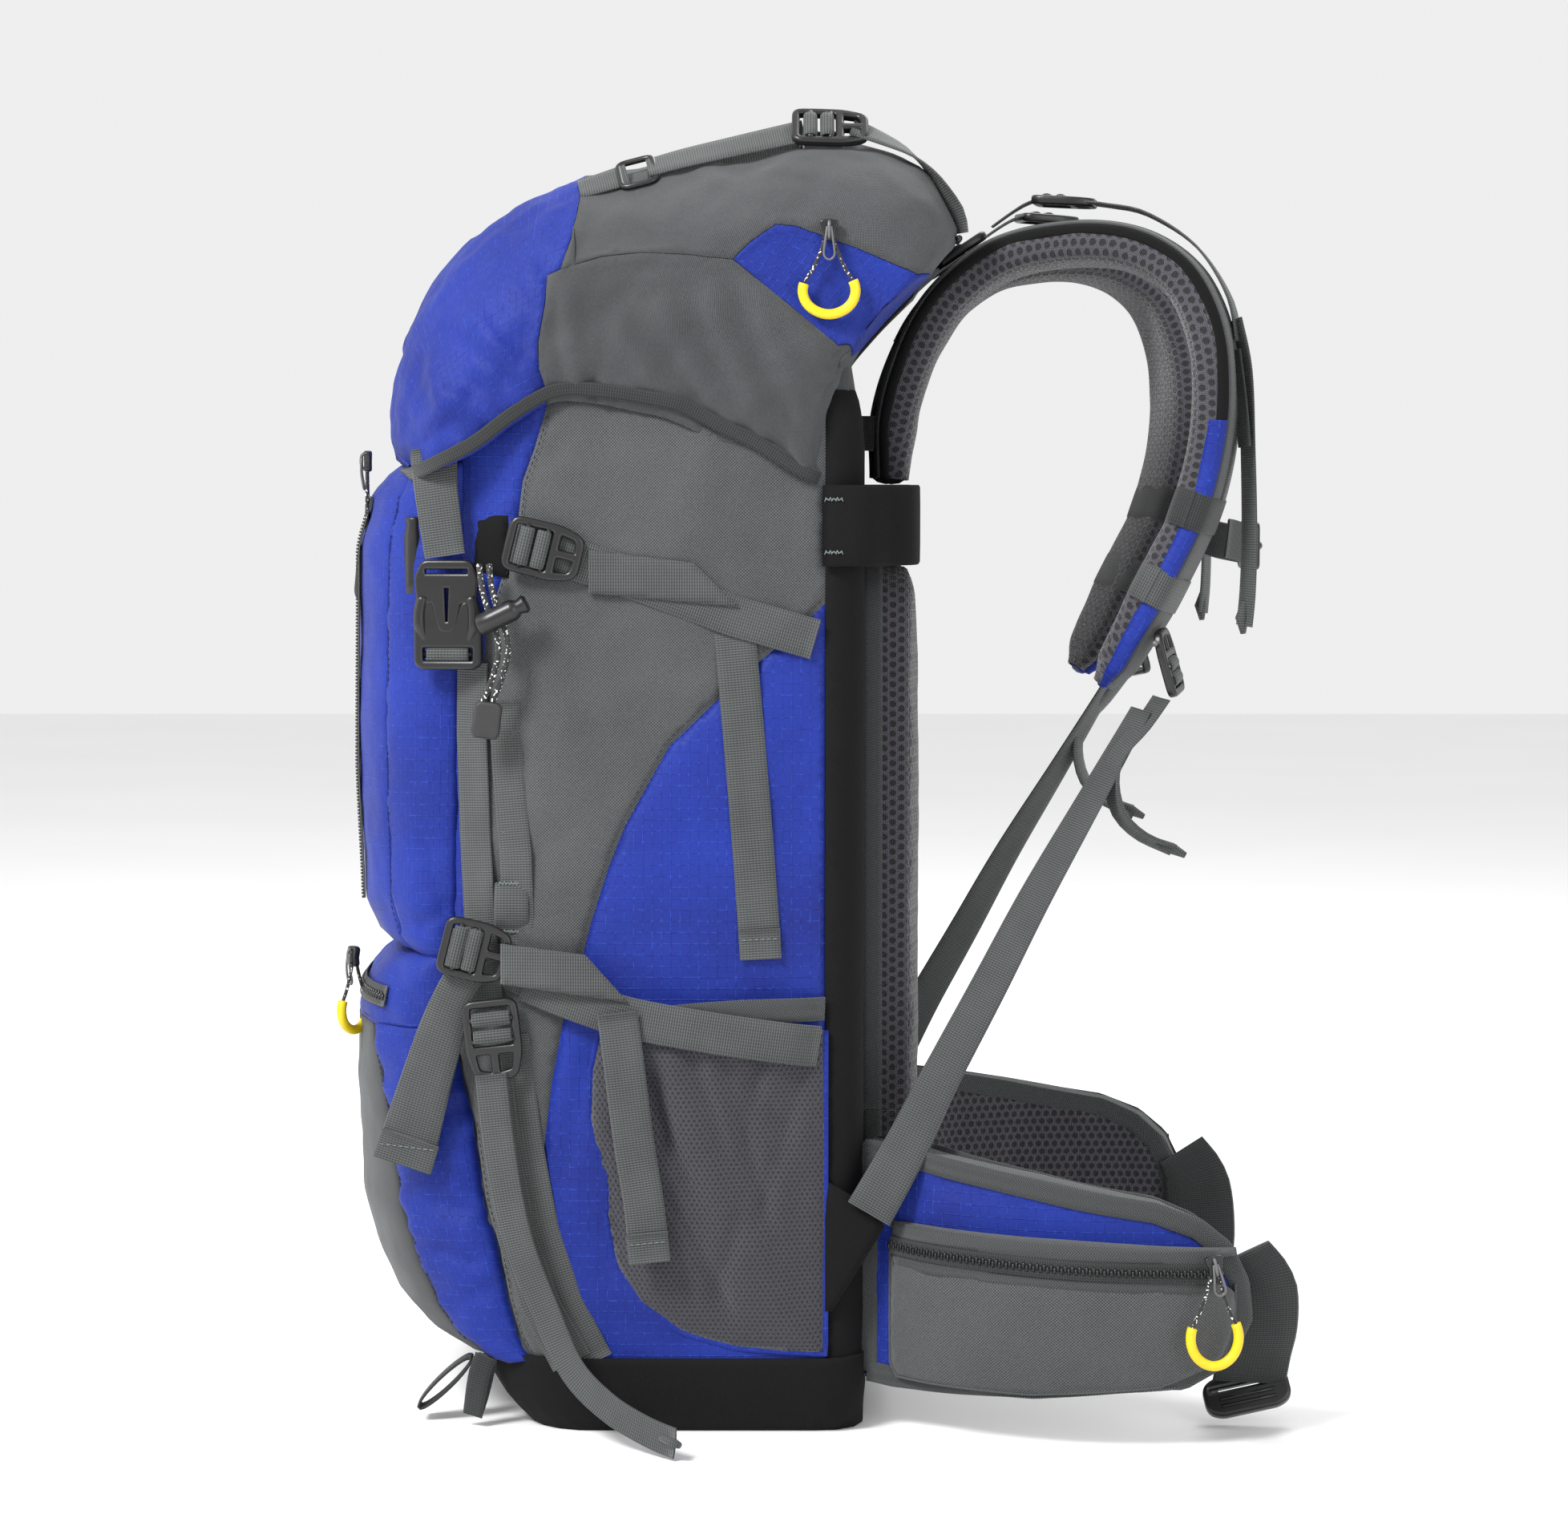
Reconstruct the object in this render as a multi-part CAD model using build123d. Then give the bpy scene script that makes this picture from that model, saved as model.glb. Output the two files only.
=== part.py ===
"""A trekking daypack: bag, floating lid, pockets, straps, harness and hip belt.

Frame: origin at the centre of the flat base, +Z up, +Y towards the wearer's back,
+X towards the wearer's right side. Millimetres. Side outlines are (Y, Z) points.
"""

from build123d import *
import math
import os

os.makedirs("parts", exist_ok=True)

# Driving dimensions
HALF_WIDTH = 147.0
BACK = 95.0
FRONT = -138.0
RIM = 500.0
STRIP_FRONT = 76.5
WALL = 3.0
FRONT_RADIUS = 90.0
REAR_RADIUS = 20.0
BASE_TOP = 34.0
WEBBING = 20.0
WEB = 1.4
GAP = 0.4
LID_HALF_WIDTH = 153.5
STRAP_WIDTH = 64.0
STRAP_PAD = 20.0
BELT_PAD = 18.0
CORD = 1.8
BUNGEE = 3.0
CLIP_X = 129.5

BAG_SIDE = [
    (-72, 0), (80, 0), (BACK, 14), (BACK, RIM), (FRONT + 2, RIM),
    (FRONT, 215), (-130, 100), (-97, BASE_TOP),
]
LID_SIDE = [
    (-127, 487), (-98, 490), (-57, 512), (-2, 506), (45, 487), (77, 473), (89, 534),
    (125, 581), (138, 597), (146, 613), (140, 634), (112, 653), (69, 655), (-2, 643),
    (-44, 629), (-95, 606), (-129, 568), (-146, 509),
]


# ---------------------------------------------------------------- helpers

def save(shape, node):
    export_step(shape, f"parts/{node}.step")


def slab(outline, x_low, x_high):
    """A plate with a (Y, Z) outline between two X positions."""
    face = Plane.YZ.offset(x_low) * make_face(Polyline(*outline, close=True))
    return extrude(face, x_high - x_low)


def soft_slab(outline, radius, half_width):
    """A rounded (Y, Z) outline, extruded both ways from the middle."""
    wire = FilletPolyline(*outline, radius=radius, close=True)
    return extrude(Plane.YZ * make_face(wire), half_width, both=True)


def mirrored(shape):
    return mirror(shape, Plane.YZ)


def pair(shape):
    return Compound(children=[*shape.solids(), *mirrored(shape).solids()])


def section(centre, along, width_way, width, thickness, corner=0.0):
    """A rectangle across a strap, its width pointing as near width_way as it can."""
    along = along.normalized()
    across = (width_way - along * width_way.dot(along)).normalized()
    plane = Plane(origin=centre, x_dir=across, z_dir=along)
    if corner:
        return plane * RectangleRounded(width, thickness, corner)
    return plane * Rectangle(width, thickness)


def ribbon(points, ways, width, thickness, corner=0.0):
    """A strap through points; ways gives its width direction at the first and last."""
    last = len(points) - 1
    sections = []
    for i, point in enumerate(points):
        before = Vector(*points[max(i - 1, 0)])
        after = Vector(*points[min(i + 1, last)])
        blend = i / last
        way = Vector(*ways[0]) * (1 - blend) + Vector(*ways[1]) * blend
        sections.append(section(point, after - before, way, width, thickness, corner))
    return loft(sections, ruled=True)


def block(x, y, z, size):
    """A box with its centre at x, y, z."""
    return Pos(x, y, z) * Box(*size)


def cord_tube(route, diameter, name):
    """A round cord: straight runs joined by arcs as large as the runs allow."""
    points = [Vector(*p) for p in route]
    radii = []
    for before, here, after in zip(points, points[1:], points[2:]):
        first = here - before
        second = after - here
        turn = math.radians(first.get_angle(second))
        shorter = min(first.length, second.length)
        radii.append(0.45 * shorter / math.tan(turn / 2))
    path = FilletPolyline(*route, radius=radii)
    start = Plane(origin=path @ 0, z_dir=path % 0)
    tube = sweep(start * Circle(diameter / 2), path=path)
    expected = math.pi * diameter ** 2 / 4 * path.length
    print(name, "radii", [round(r, 1) for r in radii],
          "length", round(path.length, 1), "volume ratio", round(tube.volume / expected, 4))
    return tube


# ---------------------------------------------------------------- bag

def bag_block(grow, top=RIM):
    """The bag's outside, grown by a distance; top moves the rim."""
    side = [(y, top if z == RIM else z) for y, z in BAG_SIDE]
    profile = offset(make_face(Polyline(*side, close=True)), amount=grow)
    plan = Polyline(
        (-HALF_WIDTH, FRONT), (HALF_WIDTH, FRONT), (HALF_WIDTH, BACK), (-HALF_WIDTH, BACK),
        close=True,
    )
    plan = make_face(plan)
    front = [v for v in plan.vertices() if v.Y < 0]
    plan = fillet(front, FRONT_RADIUS)
    rear = [v for v in plan.vertices() if v.Y > BACK - 1]
    plan = fillet(rear, REAR_RADIUS)
    plan = offset(plan, amount=grow)
    body = extrude(Plane.YZ * profile, HALF_WIDTH + grow + 1, both=True)
    return body & (Pos(0, 0, -20) * extrude(plan, RIM + 120))


def bag_layer(inner, outer):
    """A skin round the bag between two distances from its outside."""
    return bag_block(outer, RIM - 5) - bag_block(inner, RIM - 4)


def hug(skin, outline):
    """The part of a skin inside a side outline, on the wearer's right."""
    return skin & slab(outline, 60, 260)


def band(start, end, width):
    """The (Y, Z) outline of a straight strap from start to end."""
    dy, dz = end[0] - start[0], end[1] - start[1]
    length = math.hypot(dy, dz)
    ny, nz = -dz / length * width / 2, dy / length * width / 2
    return [
        (start[0] + ny, start[1] + nz), (end[0] + ny, end[1] + nz),
        (end[0] - ny, end[1] - nz), (start[0] - ny, start[1] - nz),
    ]


shell = bag_block(0) - bag_block(-WALL, RIM + 20)
base_cut = Pos(0, 0, BASE_TOP / 2 - 10) * Box(400, 400, BASE_TOP + 20)
rear_cut = Pos(0, STRIP_FRONT + 50, RIM / 2) * Box(400, 100, RIM + 40)
front_cut = Pos(0, -200, RIM / 2) * Box(400, 176, RIM + 40)
right_half = Pos(200, 0, RIM / 2) * Box(400, 400, RIM + 40)
walls = shell - base_cut
sides = walls - rear_cut - front_cut
save(shell & base_cut, "base")
save(walls & rear_cut, "back_panel")
save(walls & front_cut, "front_panel")
save(sides & right_half, "side_panel_right")
save(sides - right_half, "side_panel_left")

collar_outer = Pos(0, -15, 540) * extrude(RectangleRounded(270, 190, 60), 32, both=True)
collar_inner = Pos(0, -15, 540) * extrude(RectangleRounded(265, 185, 57), 40, both=True)
save(collar_outer - collar_inner, "collar")

save(block(0, BACK - WALL - 2.2, 262, (230, 2.4, 400)), "frame_sheet")

bag_solid = bag_block(0.3)


def front_pouch(outline, radius):
    """A stuffed pocket on the front, with its sides tapering to the bag."""
    plan = FilletPolyline(
        (-132, -90), (-121, -125), (-84, -157), (-30, -166), (30, -166), (84, -157),
        (121, -125), (132, -90), radius=16, close=True,
    )
    body = soft_slab(outline, radius, 200) & extrude(make_face(plan), RIM + 20)
    return body - bag_solid


save(front_pouch([(-90, 236), (-148, 236), (-161, 262), (-164, 330), (-163, 440),
                  (-154, 472), (-136, 482), (-90, 482)], 6), "front_pocket")
save(front_pouch([(-90, 234), (-150, 234), (-164, 218), (-166, 170), (-163, 110),
                  (-147, 62), (-115, 36), (-90, 36)], 6), "bottom_pocket")

# Stretch mesh bottle pockets: thin skins standing off the sides, open at the top
POCKET_BULGE = 17.0
pocket_line = [(-43, 200), (-22, 78), (0, 50), (74, 44), (74, 226), (30, 222)]
pocket_inner = [(-39, 206), (-19, 80), (2, 53), (71, 47), (71, 240), (24, 240)]
pocket_skin = slab(pocket_line, HALF_WIDTH + GAP, HALF_WIDTH + POCKET_BULGE)
pocket_skin -= slab(pocket_inner, HALF_WIDTH - 1, HALF_WIDTH + POCKET_BULGE - 1.6)
save(pocket_skin, "mesh_pocket_right")
save(mirrored(pocket_skin), "mesh_pocket_left")

# Padding on the back, and the black webbing band over the pads' tops
pad_plan = Pos(58, BACK + 15.3, 282) * extrude(RectangleRounded(86, 30, 11), 148, both=True)
save(pair(pad_plan), "back_pads")
lumbar = Pos(0, BACK + 11.3, 78) * extrude(RectangleRounded(200, 22, 9), 50, both=True)
save(lumbar, "lumbar_pad")
BAND_LOW, BAND_HIGH = 433, 473
band_outer = Pos(0, 0, BAND_LOW) * extrude(
    make_face(FilletPolyline((-149.2, 60), (-149.2, 90), (-112, 119.6), (112, 119.6),
                             (149.2, 90), (149.2, 60), radius=9, close=True)),
    BAND_HIGH - BAND_LOW)
band_inner = Pos(0, 0, BAND_LOW - 1) * extrude(
    make_face(FilletPolyline((-147.4, 50), (-147.4, 89.5), (-112, 117.8), (112, 117.8),
                             (147.4, 89.5), (147.4, 50), radius=8, close=True)),
    BAND_HIGH - BAND_LOW + 2)
back_band = band_outer - band_inner - Pos(0, 60, 450) * Box(400, 32, 100)
save(back_band, "back_band")

# ---------------------------------------------------------------- webbing on the bag

near_skin = bag_layer(GAP, GAP + WEB)
outer_skin = bag_layer(GAP + WEB + 0.3, GAP + 2 * WEB + 0.3)

UPPER_LOCK = (-62.0, 441.0)
LOWER_LOCK = (-99.0, 241.0)
FRONT_LOCK = (-88.0, 199.0)
OVER_POCKET = HALF_WIDTH + POCKET_BULGE + 0.6

compression = [
    hug(outer_skin, band((-84, 453), (75.5, 391), WEBBING)),
    hug(near_skin, [(-52, 448), (-50, 426), (18, 412), (48, 381), (54, 239), (33, 239),
                    (27, 384), (8, 432)]),
    hug(outer_skin, band((-104, 240), (-60, 221), WEBBING)),
    slab(band((-58, 218), (75.5, 200), WEBBING), OVER_POCKET, OVER_POCKET + WEB),
    slab([(-52, 225), (-34, 236), (-14, 204), (0, 92), (-20, 89), (-34, 205)],
         OVER_POCKET + WEB + 0.3, OVER_POCKET + 2 * WEB + 0.3),
]
right_compression = Compound(children=[s for part in compression for s in part.solids()])
save(pair(right_compression), "compression_straps")


def ladder_lock(length, width, depth):
    """A ladder-lock lying flat: two windows across a rounded frame."""
    frame = extrude(RectangleRounded(length, width, 5), depth / 2, both=True)
    window = Box(length * 0.24, width - 8, depth * 2)
    return frame - Pos(-length * 0.2, 0, 0) * window - Pos(length * 0.2, 0, 0) * window


def lock_on_side(centre, slope, x):
    """A ladder-lock lying on the bag's side, its length turned by slope degrees."""
    lie = Plane(origin=(x, centre[0], centre[1]), x_dir=(0, 1, 0), z_dir=(1, 0, 0))
    return lie * (Rot(0, 0, slope) * ladder_lock(38, 28, 6))


LOCK_X = HALF_WIDTH + 8.0
rear_lock = Plane(origin=(45, 147.2, 593.4), x_dir=(0, 0.83, 0.56), z_dir=(0, -0.56, 0.83))
locks = [
    lock_on_side(UPPER_LOCK, -14, LOCK_X),
    lock_on_side(LOWER_LOCK, -75, LOCK_X - 1),
    lock_on_side(FRONT_LOCK, -82, LOCK_X - 1),
    rear_lock * ladder_lock(30, 28, 6),
]
lock_solids = [s for lock in locks for s in lock.solids()]
right_locks = Compound(children=lock_solids)
save(pair(right_locks), "ladder_locks")

# Front webbing: from the side-release buckle down to the front ladder-lock, the sewn
# strap from the base up to it, and the long tail that reaches the ground
lower_webbing = hug(outer_skin, [(-106, 376), (-87, 376), (-84, 256), (-102, 256)])
sewn_webbing = hug(near_skin, [(-98, 178), (-77, 178), (-34, 37), (-52, 37)])
tail_points = [(156, -84, 178), (157, -76, 120), (158, -64, 62), (166, -48, 30),
               (182, -24, 13), (205, 2, 3.4)]
long_tail = ribbon(tail_points, [(0, 1, 0.1), (0, 1, -0.2)], 16, WEB)
mat_tail = ribbon([(140, -113, 226), (141, -120, 190), (141, -130, 160), (139, -140, 130)],
                  [(0, 1, 0.3), (0, 1, 0.3)], 26, WEB)
daisy = hug(near_skin, [(-85, 362), (-77, 362), (-66, 240), (-83, 240)])
front_parts = [lower_webbing, sewn_webbing, long_tail, mat_tail, daisy]
front_solids = [s for part in front_parts for s in part.solids()]
save(pair(Compound(children=front_solids)), "front_webbings")

# Gear loops, haul loop, axe-holder tabs and the triangles that hold the shoulder webbing
def closed_loop(plane, length, width, thickness):
    """A webbing loop, lying in a plane, that something can be threaded through."""
    ring = RectangleRounded(length, 16, 6) - RectangleRounded(length - 6, 10, 4)
    return plane * extrude(ring, width / 2, both=True)


gear_loop = closed_loop(Plane(origin=(110, -118, 17.5), x_dir=(0, -0.72, -0.69), z_dir=(1, 0, 0)),
                        38, 14, WEB)
second_tie = ribbon([(131, -101, 33), (132, -104, 20), (131, -106, 5)],
                    [(0, 1, 0), (0, 1, 0)], 12, WEB)
axe_tab = hug(outer_skin, [(-97, 452), (-89, 452), (-89, 436), (-97, 436)])
anchor_tab = slab([(76, 124), (100, 122), (106, 98), (80, 62)], HALF_WIDTH + 0.6,
                  HALF_WIDTH + 3.6)
loops = [gear_loop, second_tie, axe_tab, anchor_tab]
right_loops = Compound(children=[s for part in loops for s in part.solids()])
haul_ring = RectangleRounded(38, 46, 14) - RectangleRounded(33, 41, 11.5)
haul_loop = Pos(0, BACK + 1, 500) * extrude(haul_ring, 9, both=True)
haul_loop -= Pos(0, BACK - 49.7, 500) * Box(200, 100, 100)
all_loops = [*pair(right_loops).solids(), *haul_loop.solids()]
save(Compound(children=all_loops), "accessory_loops")

# Side-release buckles: the female half is open on its face so that the male half can leave
CLIP_Y = -110.0


def female_clip():
    body = block(CLIP_X + 10, CLIP_Y, 398, (9, 34, 30))
    recess = block(CLIP_X + 13, CLIP_Y, 404, (9, 28, 24))
    bar_slot = block(CLIP_X + 10, CLIP_Y, 387, (12, 24, 4))
    return body - recess - bar_slot


save(pair(Compound(children=female_clip().solids())), "clip_females")


def male_clip():
    plate = block(CLIP_X + 12.5, CLIP_Y, 424, (4, 30, 20))
    prongs = [block(CLIP_X + 12.5, CLIP_Y + dy, 407, (4, 5, 16)) for dy in (-10, 0, 10)]
    for prong in prongs:
        plate += prong
    return plate - block(CLIP_X + 12.5, CLIP_Y, 429, (10, 22, 4))


clip_strap = ribbon([(CLIP_X + 8.4, -116.2, 474), (CLIP_X + 10, -114, 460),
                     (CLIP_X + 12.5, CLIP_Y, 435)],
                    [(0.25, 1, 0), (0, 1, 0)], WEBBING, WEB)
save(male_clip(), "clip_male_right")
save(mirrored(male_clip()), "clip_male_left")
save(clip_strap, "clip_strap_right")
save(mirrored(clip_strap), "clip_strap_left")

# ---------------------------------------------------------------- lid

def lid_block(inset):
    profile = make_face(Polyline(*LID_SIDE, close=True))
    profile = offset(profile, amount=-inset) if inset else profile
    plan = make_face(Polyline((-LID_HALF_WIDTH, -150), (LID_HALF_WIDTH, -150),
                              (LID_HALF_WIDTH, 150), (-LID_HALF_WIDTH, 150), close=True))
    front = [v for v in plan.vertices() if v.Y < 0]
    plan = fillet(front, 88)
    rear = [v for v in plan.vertices() if v.Y > 149]
    plan = fillet(rear, 34)
    plan = offset(plan, amount=-inset) if inset else plan
    body = extrude(Plane.YZ * profile, LID_HALF_WIDTH, both=True)
    return body & (Pos(0, 0, 400) * extrude(plan, 300))


lid_solid = lid_block(0)
inner_plan = make_face(Polyline((-150.5, -143), (150.5, -143), (150.5, 190), (-150.5, 190),
                                close=True))
inner_plan = fillet([v for v in inner_plan.vertices() if v.Y < 0], 86)
hollow = extrude(Plane.YZ * make_face(Polyline(
    (-160, 400), (-143, 509), (-127, 562), (-110, 578), (200, 578), (200, 400),
    close=True)), 149.8, both=True)
hollow &= Pos(0, 0, 300) * extrude(inner_plan, 400)
lid_cover = lid_solid - hollow
pocket_fill = lid_block(5) & slab([(-104, 583), (120, 583), (160, 620), (160, 700),
                                   (-104, 700)], -160, 160)
save(lid_cover - lid_block(4.6) - hollow, "lid_cover")
save(pocket_fill, "lid_pocket")

LID_STRAP_X = 108.0
anchor_strap = ribbon([(LID_STRAP_X, -50, 630.4), (LID_STRAP_X, -38, 636.5),
                       (LID_STRAP_X, -22, 643)],
                      [(1, 0, 0), (1, 0, 0)], WEBBING, WEB)
top_strap = ribbon([(LID_STRAP_X, -6, 649), (LID_STRAP_X, 30, 657), (LID_STRAP_X, 60, 661.5)],
                   [(1, 0, 0), (1, 0, 0)], WEBBING, WEB)
rear_strap = ribbon([(LID_STRAP_X, 100, 660.4), (LID_STRAP_X, 118, 653.8),
                     (LID_STRAP_X, 143.4, 635.5), (LID_STRAP_X, 148.8, 616)],
                    [(1, 0, 0), (1, 0, 0)], WEBBING, WEB)
lid_webs = [*anchor_strap.solids(), *top_strap.solids(), *rear_strap.solids()]
save(pair(Compound(children=lid_webs)), "lid_straps")
lid_lock = Plane(origin=(LID_STRAP_X, 80, 661.5), x_dir=(0, 1, 0), z_dir=(0, 0, 1))
ring = Plane(origin=(LID_STRAP_X, -14, 646), x_dir=(0, 0.96, 0.26), z_dir=(0, -0.26, 0.96))
ring_shape = extrude(RectangleRounded(20, 27, 4) - RectangleRounded(13, 21, 3), 1.6, both=True)
lid_hardware = [*(lid_lock * ladder_lock(36, 27, 5)).solids(), *(ring * ring_shape).solids()]
save(pair(Compound(children=lid_hardware)), "lid_hardware")

# ---------------------------------------------------------------- shoulder harness

STRAP_LINE = [
    (55, 111, 476), (55, 114.5, 512), (57, 126, 545), (60, 142, 569), (65, 168, 588),
    (73, 202, 595), (82, 233, 592), (88, 256, 578), (92, 269, 555), (93, 274, 528),
    (92, 273, 495), (90, 264, 458), (88, 246, 420), (86, 228, 386), (85, 219, 372),
]
FLARE = [(1, 0, 0), (0.96, -0.28, 0)]
strap = ribbon(STRAP_LINE, FLARE, STRAP_WIDTH, STRAP_PAD, 6)
save(strap, "shoulder_strap_right")
save(mirrored(strap), "shoulder_strap_left")

ANCHOR = (155.0, 98.0, 110.0)
STRAP_LOCK = (104.0, 250.0, 384.0)
lower_web = ribbon([ANCHOR, (140, 134, 178), (124, 182, 267), (106, 238, 362)],
                   [(0, 0.87, -0.49), (0.8, 0.5, -0.3)], WEBBING, WEB)
strap_tail = ribbon([(118, 246, 360), (117, 232, 346), (113, 222, 326), (114, 229, 306),
                     (114, 250, 292)],
                    [(0.9, 0.3, -0.3), (0.9, 0.2, 0)], 16, WEB)
lifter = ribbon([(57, 165, 605.5), (60, 175, 611), (64, 184.5, 616)],
                [(1, 0, 0), (1, 0, 0)], WEBBING, WEB)
lifter_top = ribbon([(74, 217, 611.5), (82, 240, 607.5), (89, 266, 590), (96, 283, 558)],
                    [FLARE[1], FLARE[1]], WEBBING, WEB)
lifter_tail = ribbon([(100, 287, 552), (101, 289, 500), (100, 290, 450), (99, 288, 404)],
                     [(0.9, 0.4, 0), (0.9, 0.4, 0)], 15, WEB)
strap_webs = [lower_web, strap_tail, lifter, lifter_top, lifter_tail]
web_solids = [s for part in strap_webs for s in part.solids()]
right_webs = Compound(children=web_solids)
save(right_webs, "strap_webbing_right")
save(mirrored(right_webs), "strap_webbing_left")

lifter_lock = Plane(origin=(68, 200, 617), x_dir=(0.2, 0.97, -0.04), z_dir=(0, 0.04, 1))
tip_lock = Plane(origin=STRAP_LOCK, x_dir=(0.05, -0.25, 0.97), z_dir=(0.3, 0.93, 0.25))
strap_hardware = [*(lifter_lock * ladder_lock(28, 27, 5)).solids(),
                  *(tip_lock * ladder_lock(32, 27, 6)).solids()]
right_hardware = Compound(children=strap_hardware)
save(right_hardware, "strap_hardware_right")
save(mirrored(right_hardware), "strap_hardware_left")

sternum = ribbon([(82, 281, 446), (62, 293, 443), (40, 300, 441), (24, 302, 441)],
                 [(0, 0, 1), (0, 0, 1)], WEBBING, WEB)
save(sternum, "sternum_strap_right")
save(mirrored(sternum), "sternum_strap_left")
sternum_buckle = block(12.4, 302, 441, (22.6, 7, 26)) - block(19, 302, 441, (4, 12, 20))
save(sternum_buckle, "sternum_buckle_right")
save(mirrored(sternum_buckle), "sternum_buckle_left")

# ---------------------------------------------------------------- hip belt

WING_SIDE = [(97, 26), (97, 143), (128, 140), (183, 131), (241, 119), (268, 108), (281, 90),
             (284, 66), (279, 47), (254, 30), (183, 23), (112, 24)]
WING_PLAN = [(121, 95), (131, 116), (150, 148), (164, 196), (166, 246), (158, 288)]


wing_line = Spline(*WING_PLAN)
wing = extrude(trace(wing_line, BELT_PAD), 160) & slab(WING_SIDE, 60, 240)
save(wing, "belt_wing_right")
save(mirrored(wing), "belt_wing_left")

pocket_plan = make_face(Polyline((158, 112), (172, 150), (185, 188), (189, 225), (187, 262),
                                 (176, 278), (120, 278), (120, 112), close=True))
pocket_plan = fillet([v for v in pocket_plan.vertices() if v.X > 180], 12)
belt_pocket = extrude(pocket_plan, 99) & slab(
    [(112, 28), (112, 98), (180, 98), (272, 95), (277, 66), (270, 42), (240, 30), (180, 25)],
    60, 240)
keep_out = extrude(trace(wing_line, BELT_PAD + 0.8), 160)
belt_pocket -= keep_out
outer_pocket = belt_pocket.solids().sort_by(Axis.X)[-1]
save(outer_pocket, "belt_pocket_right")
save(mirrored(outer_pocket), "belt_pocket_left")

BELT_WEBBING = 38.0
belt_web = ribbon([(148, 293, 76), (143, 294.5, 60), (135, 294, 42), (127.5, 291.5, 25)],
                  [(0.1, 0.9, 0.5), (0, 0.97, 0.22)], BELT_WEBBING, 1.8)
save(belt_web, "belt_webbing_right")
save(mirrored(belt_web), "belt_webbing_left")
buckle_plane = Plane(origin=(123.4, 290.2, 14.6), x_dir=(0, 0.97, 0.22), z_dir=(0.86, -0.1, 0.5))
belt_buckle = buckle_plane * (extrude(RectangleRounded(44, 19, 4), 4, both=True))
save(belt_buckle, "belt_buckle_right")
save(mirrored(belt_buckle), "belt_buckle_left")

# ---------------------------------------------------------------- zip sliders and pulls

def zip_pull(node, slider_at, slider_size, route, grip_from, grip_size):
    """A zip slider with a cord loop; the grip sits round the loop's lowest part."""
    slider = block(*slider_at, slider_size)
    grip_points = route[grip_from:len(route) - grip_from]
    grip = grip_size(grip_points)
    hardware = Compound(children=[*slider.solids(), *grip.solids()])
    save(hardware, f"{node}_zip")
    save(cord_tube(route, CORD, node), f"{node}_zip_cord")


def u_grip(points):
    """A U-shaped plastic tube round the cord."""
    return cord_tube(points, 5.0, "grip")


def loop_route(top, drop, half, depth_way):
    """A hanging cord loop: down one side, round the grip and up the other side."""
    x, y, z = top
    dx, dy = depth_way
    spread = [(-0.16, 0), (-0.45, 0.34), (-1, 0.62), (-0.78, 0.9), (0, 1.03),
              (0.78, 0.9), (1, 0.62), (0.45, 0.34), (0.16, 0)]
    return [(x + dx * s * half, y + dy * s * half, z - drop * d) for s, d in spread]


FRONT_ZIP_X = 70.0
BELT_ZIP_X = 193.5
FRONT_ZIP_Y = -165.0
lid_route = loop_route((LID_HALF_WIDTH + 4.4, 78, 592), 36, 14, (0, 1))
belt_route = loop_route((BELT_ZIP_X, 266, 88), 44, 13, (-0.12, 0.99))
front_route = loop_route((FRONT_ZIP_X, FRONT_ZIP_Y, 478), 40, 4.5, (1, 0))
bottom_route = loop_route((75, -170, 221), 34, 12, (0.85, -0.52))

zip_pull("lid", (LID_HALF_WIDTH + 4.4, 78, 597), (5, 9, 9), lid_route, 2, u_grip)
zip_pull("belt_right", (BELT_ZIP_X, 266, 93), (5, 10, 9), belt_route, 2, u_grip)
left_cord = cord_tube(belt_route, CORD, "belt_left")
left_parts = [*block(BELT_ZIP_X, 266, 93, (5, 10, 9)).solids(), *u_grip(belt_route[2:7]).solids()]
save(mirrored(Compound(children=left_parts)), "belt_left_zip")
save(mirrored(left_cord), "belt_left_zip_cord")
zip_pull("bottom", (75, -170, 226), (10, 5, 8), bottom_route, 2, u_grip)
front_tab = block(FRONT_ZIP_X, FRONT_ZIP_Y, 426, (12, 5, 26))
front_slider = block(FRONT_ZIP_X, FRONT_ZIP_Y, 483, (9, 5, 9))
save(Compound(children=[*front_slider.solids(), *front_tab.solids()]), "front_zip")
save(cord_tube(front_route, CORD, "front"), "front_zip_cord")

# ---------------------------------------------------------------- axe-holder bungees

AXE_ROUTE = [(151, -89, 434), (155, -88, 420), (160, -78, 397), (160, -81, 380),
             (158, -87, 367)]
STRAND_OFFSET = 2.4
first_strand = cord_tube(AXE_ROUTE, BUNGEE, "axe")
second_strand = Pos(0, -2 * STRAND_OFFSET, 0) * first_strand
strands = [*first_strand.solids(), *second_strand.solids()]
save(pair(Compound(children=strands)), "axe_cords")
axe_tag = block(157.5, -90, 357.8, (5, 13, 18))
save(pair(Compound(children=axe_tag.solids())), "axe_tags")
lock_plane = Plane(origin=(157.5, -85.4, 408.5), x_dir=(0, 0.92, 0.4), z_dir=(0.2, 0.39, -0.9))
lock_section = RectangleRounded(17, 13, 4) - RectangleRounded(12, 7.5, 3)
cord_lock = lock_plane * extrude(lock_section, 4.5, both=True)
save(cord_lock, "cord_lock_right")
save(mirrored(cord_lock), "cord_lock_left")
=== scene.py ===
import bpy
import math
from mathutils import Matrix, Vector, geometry, kdtree, noise


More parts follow.
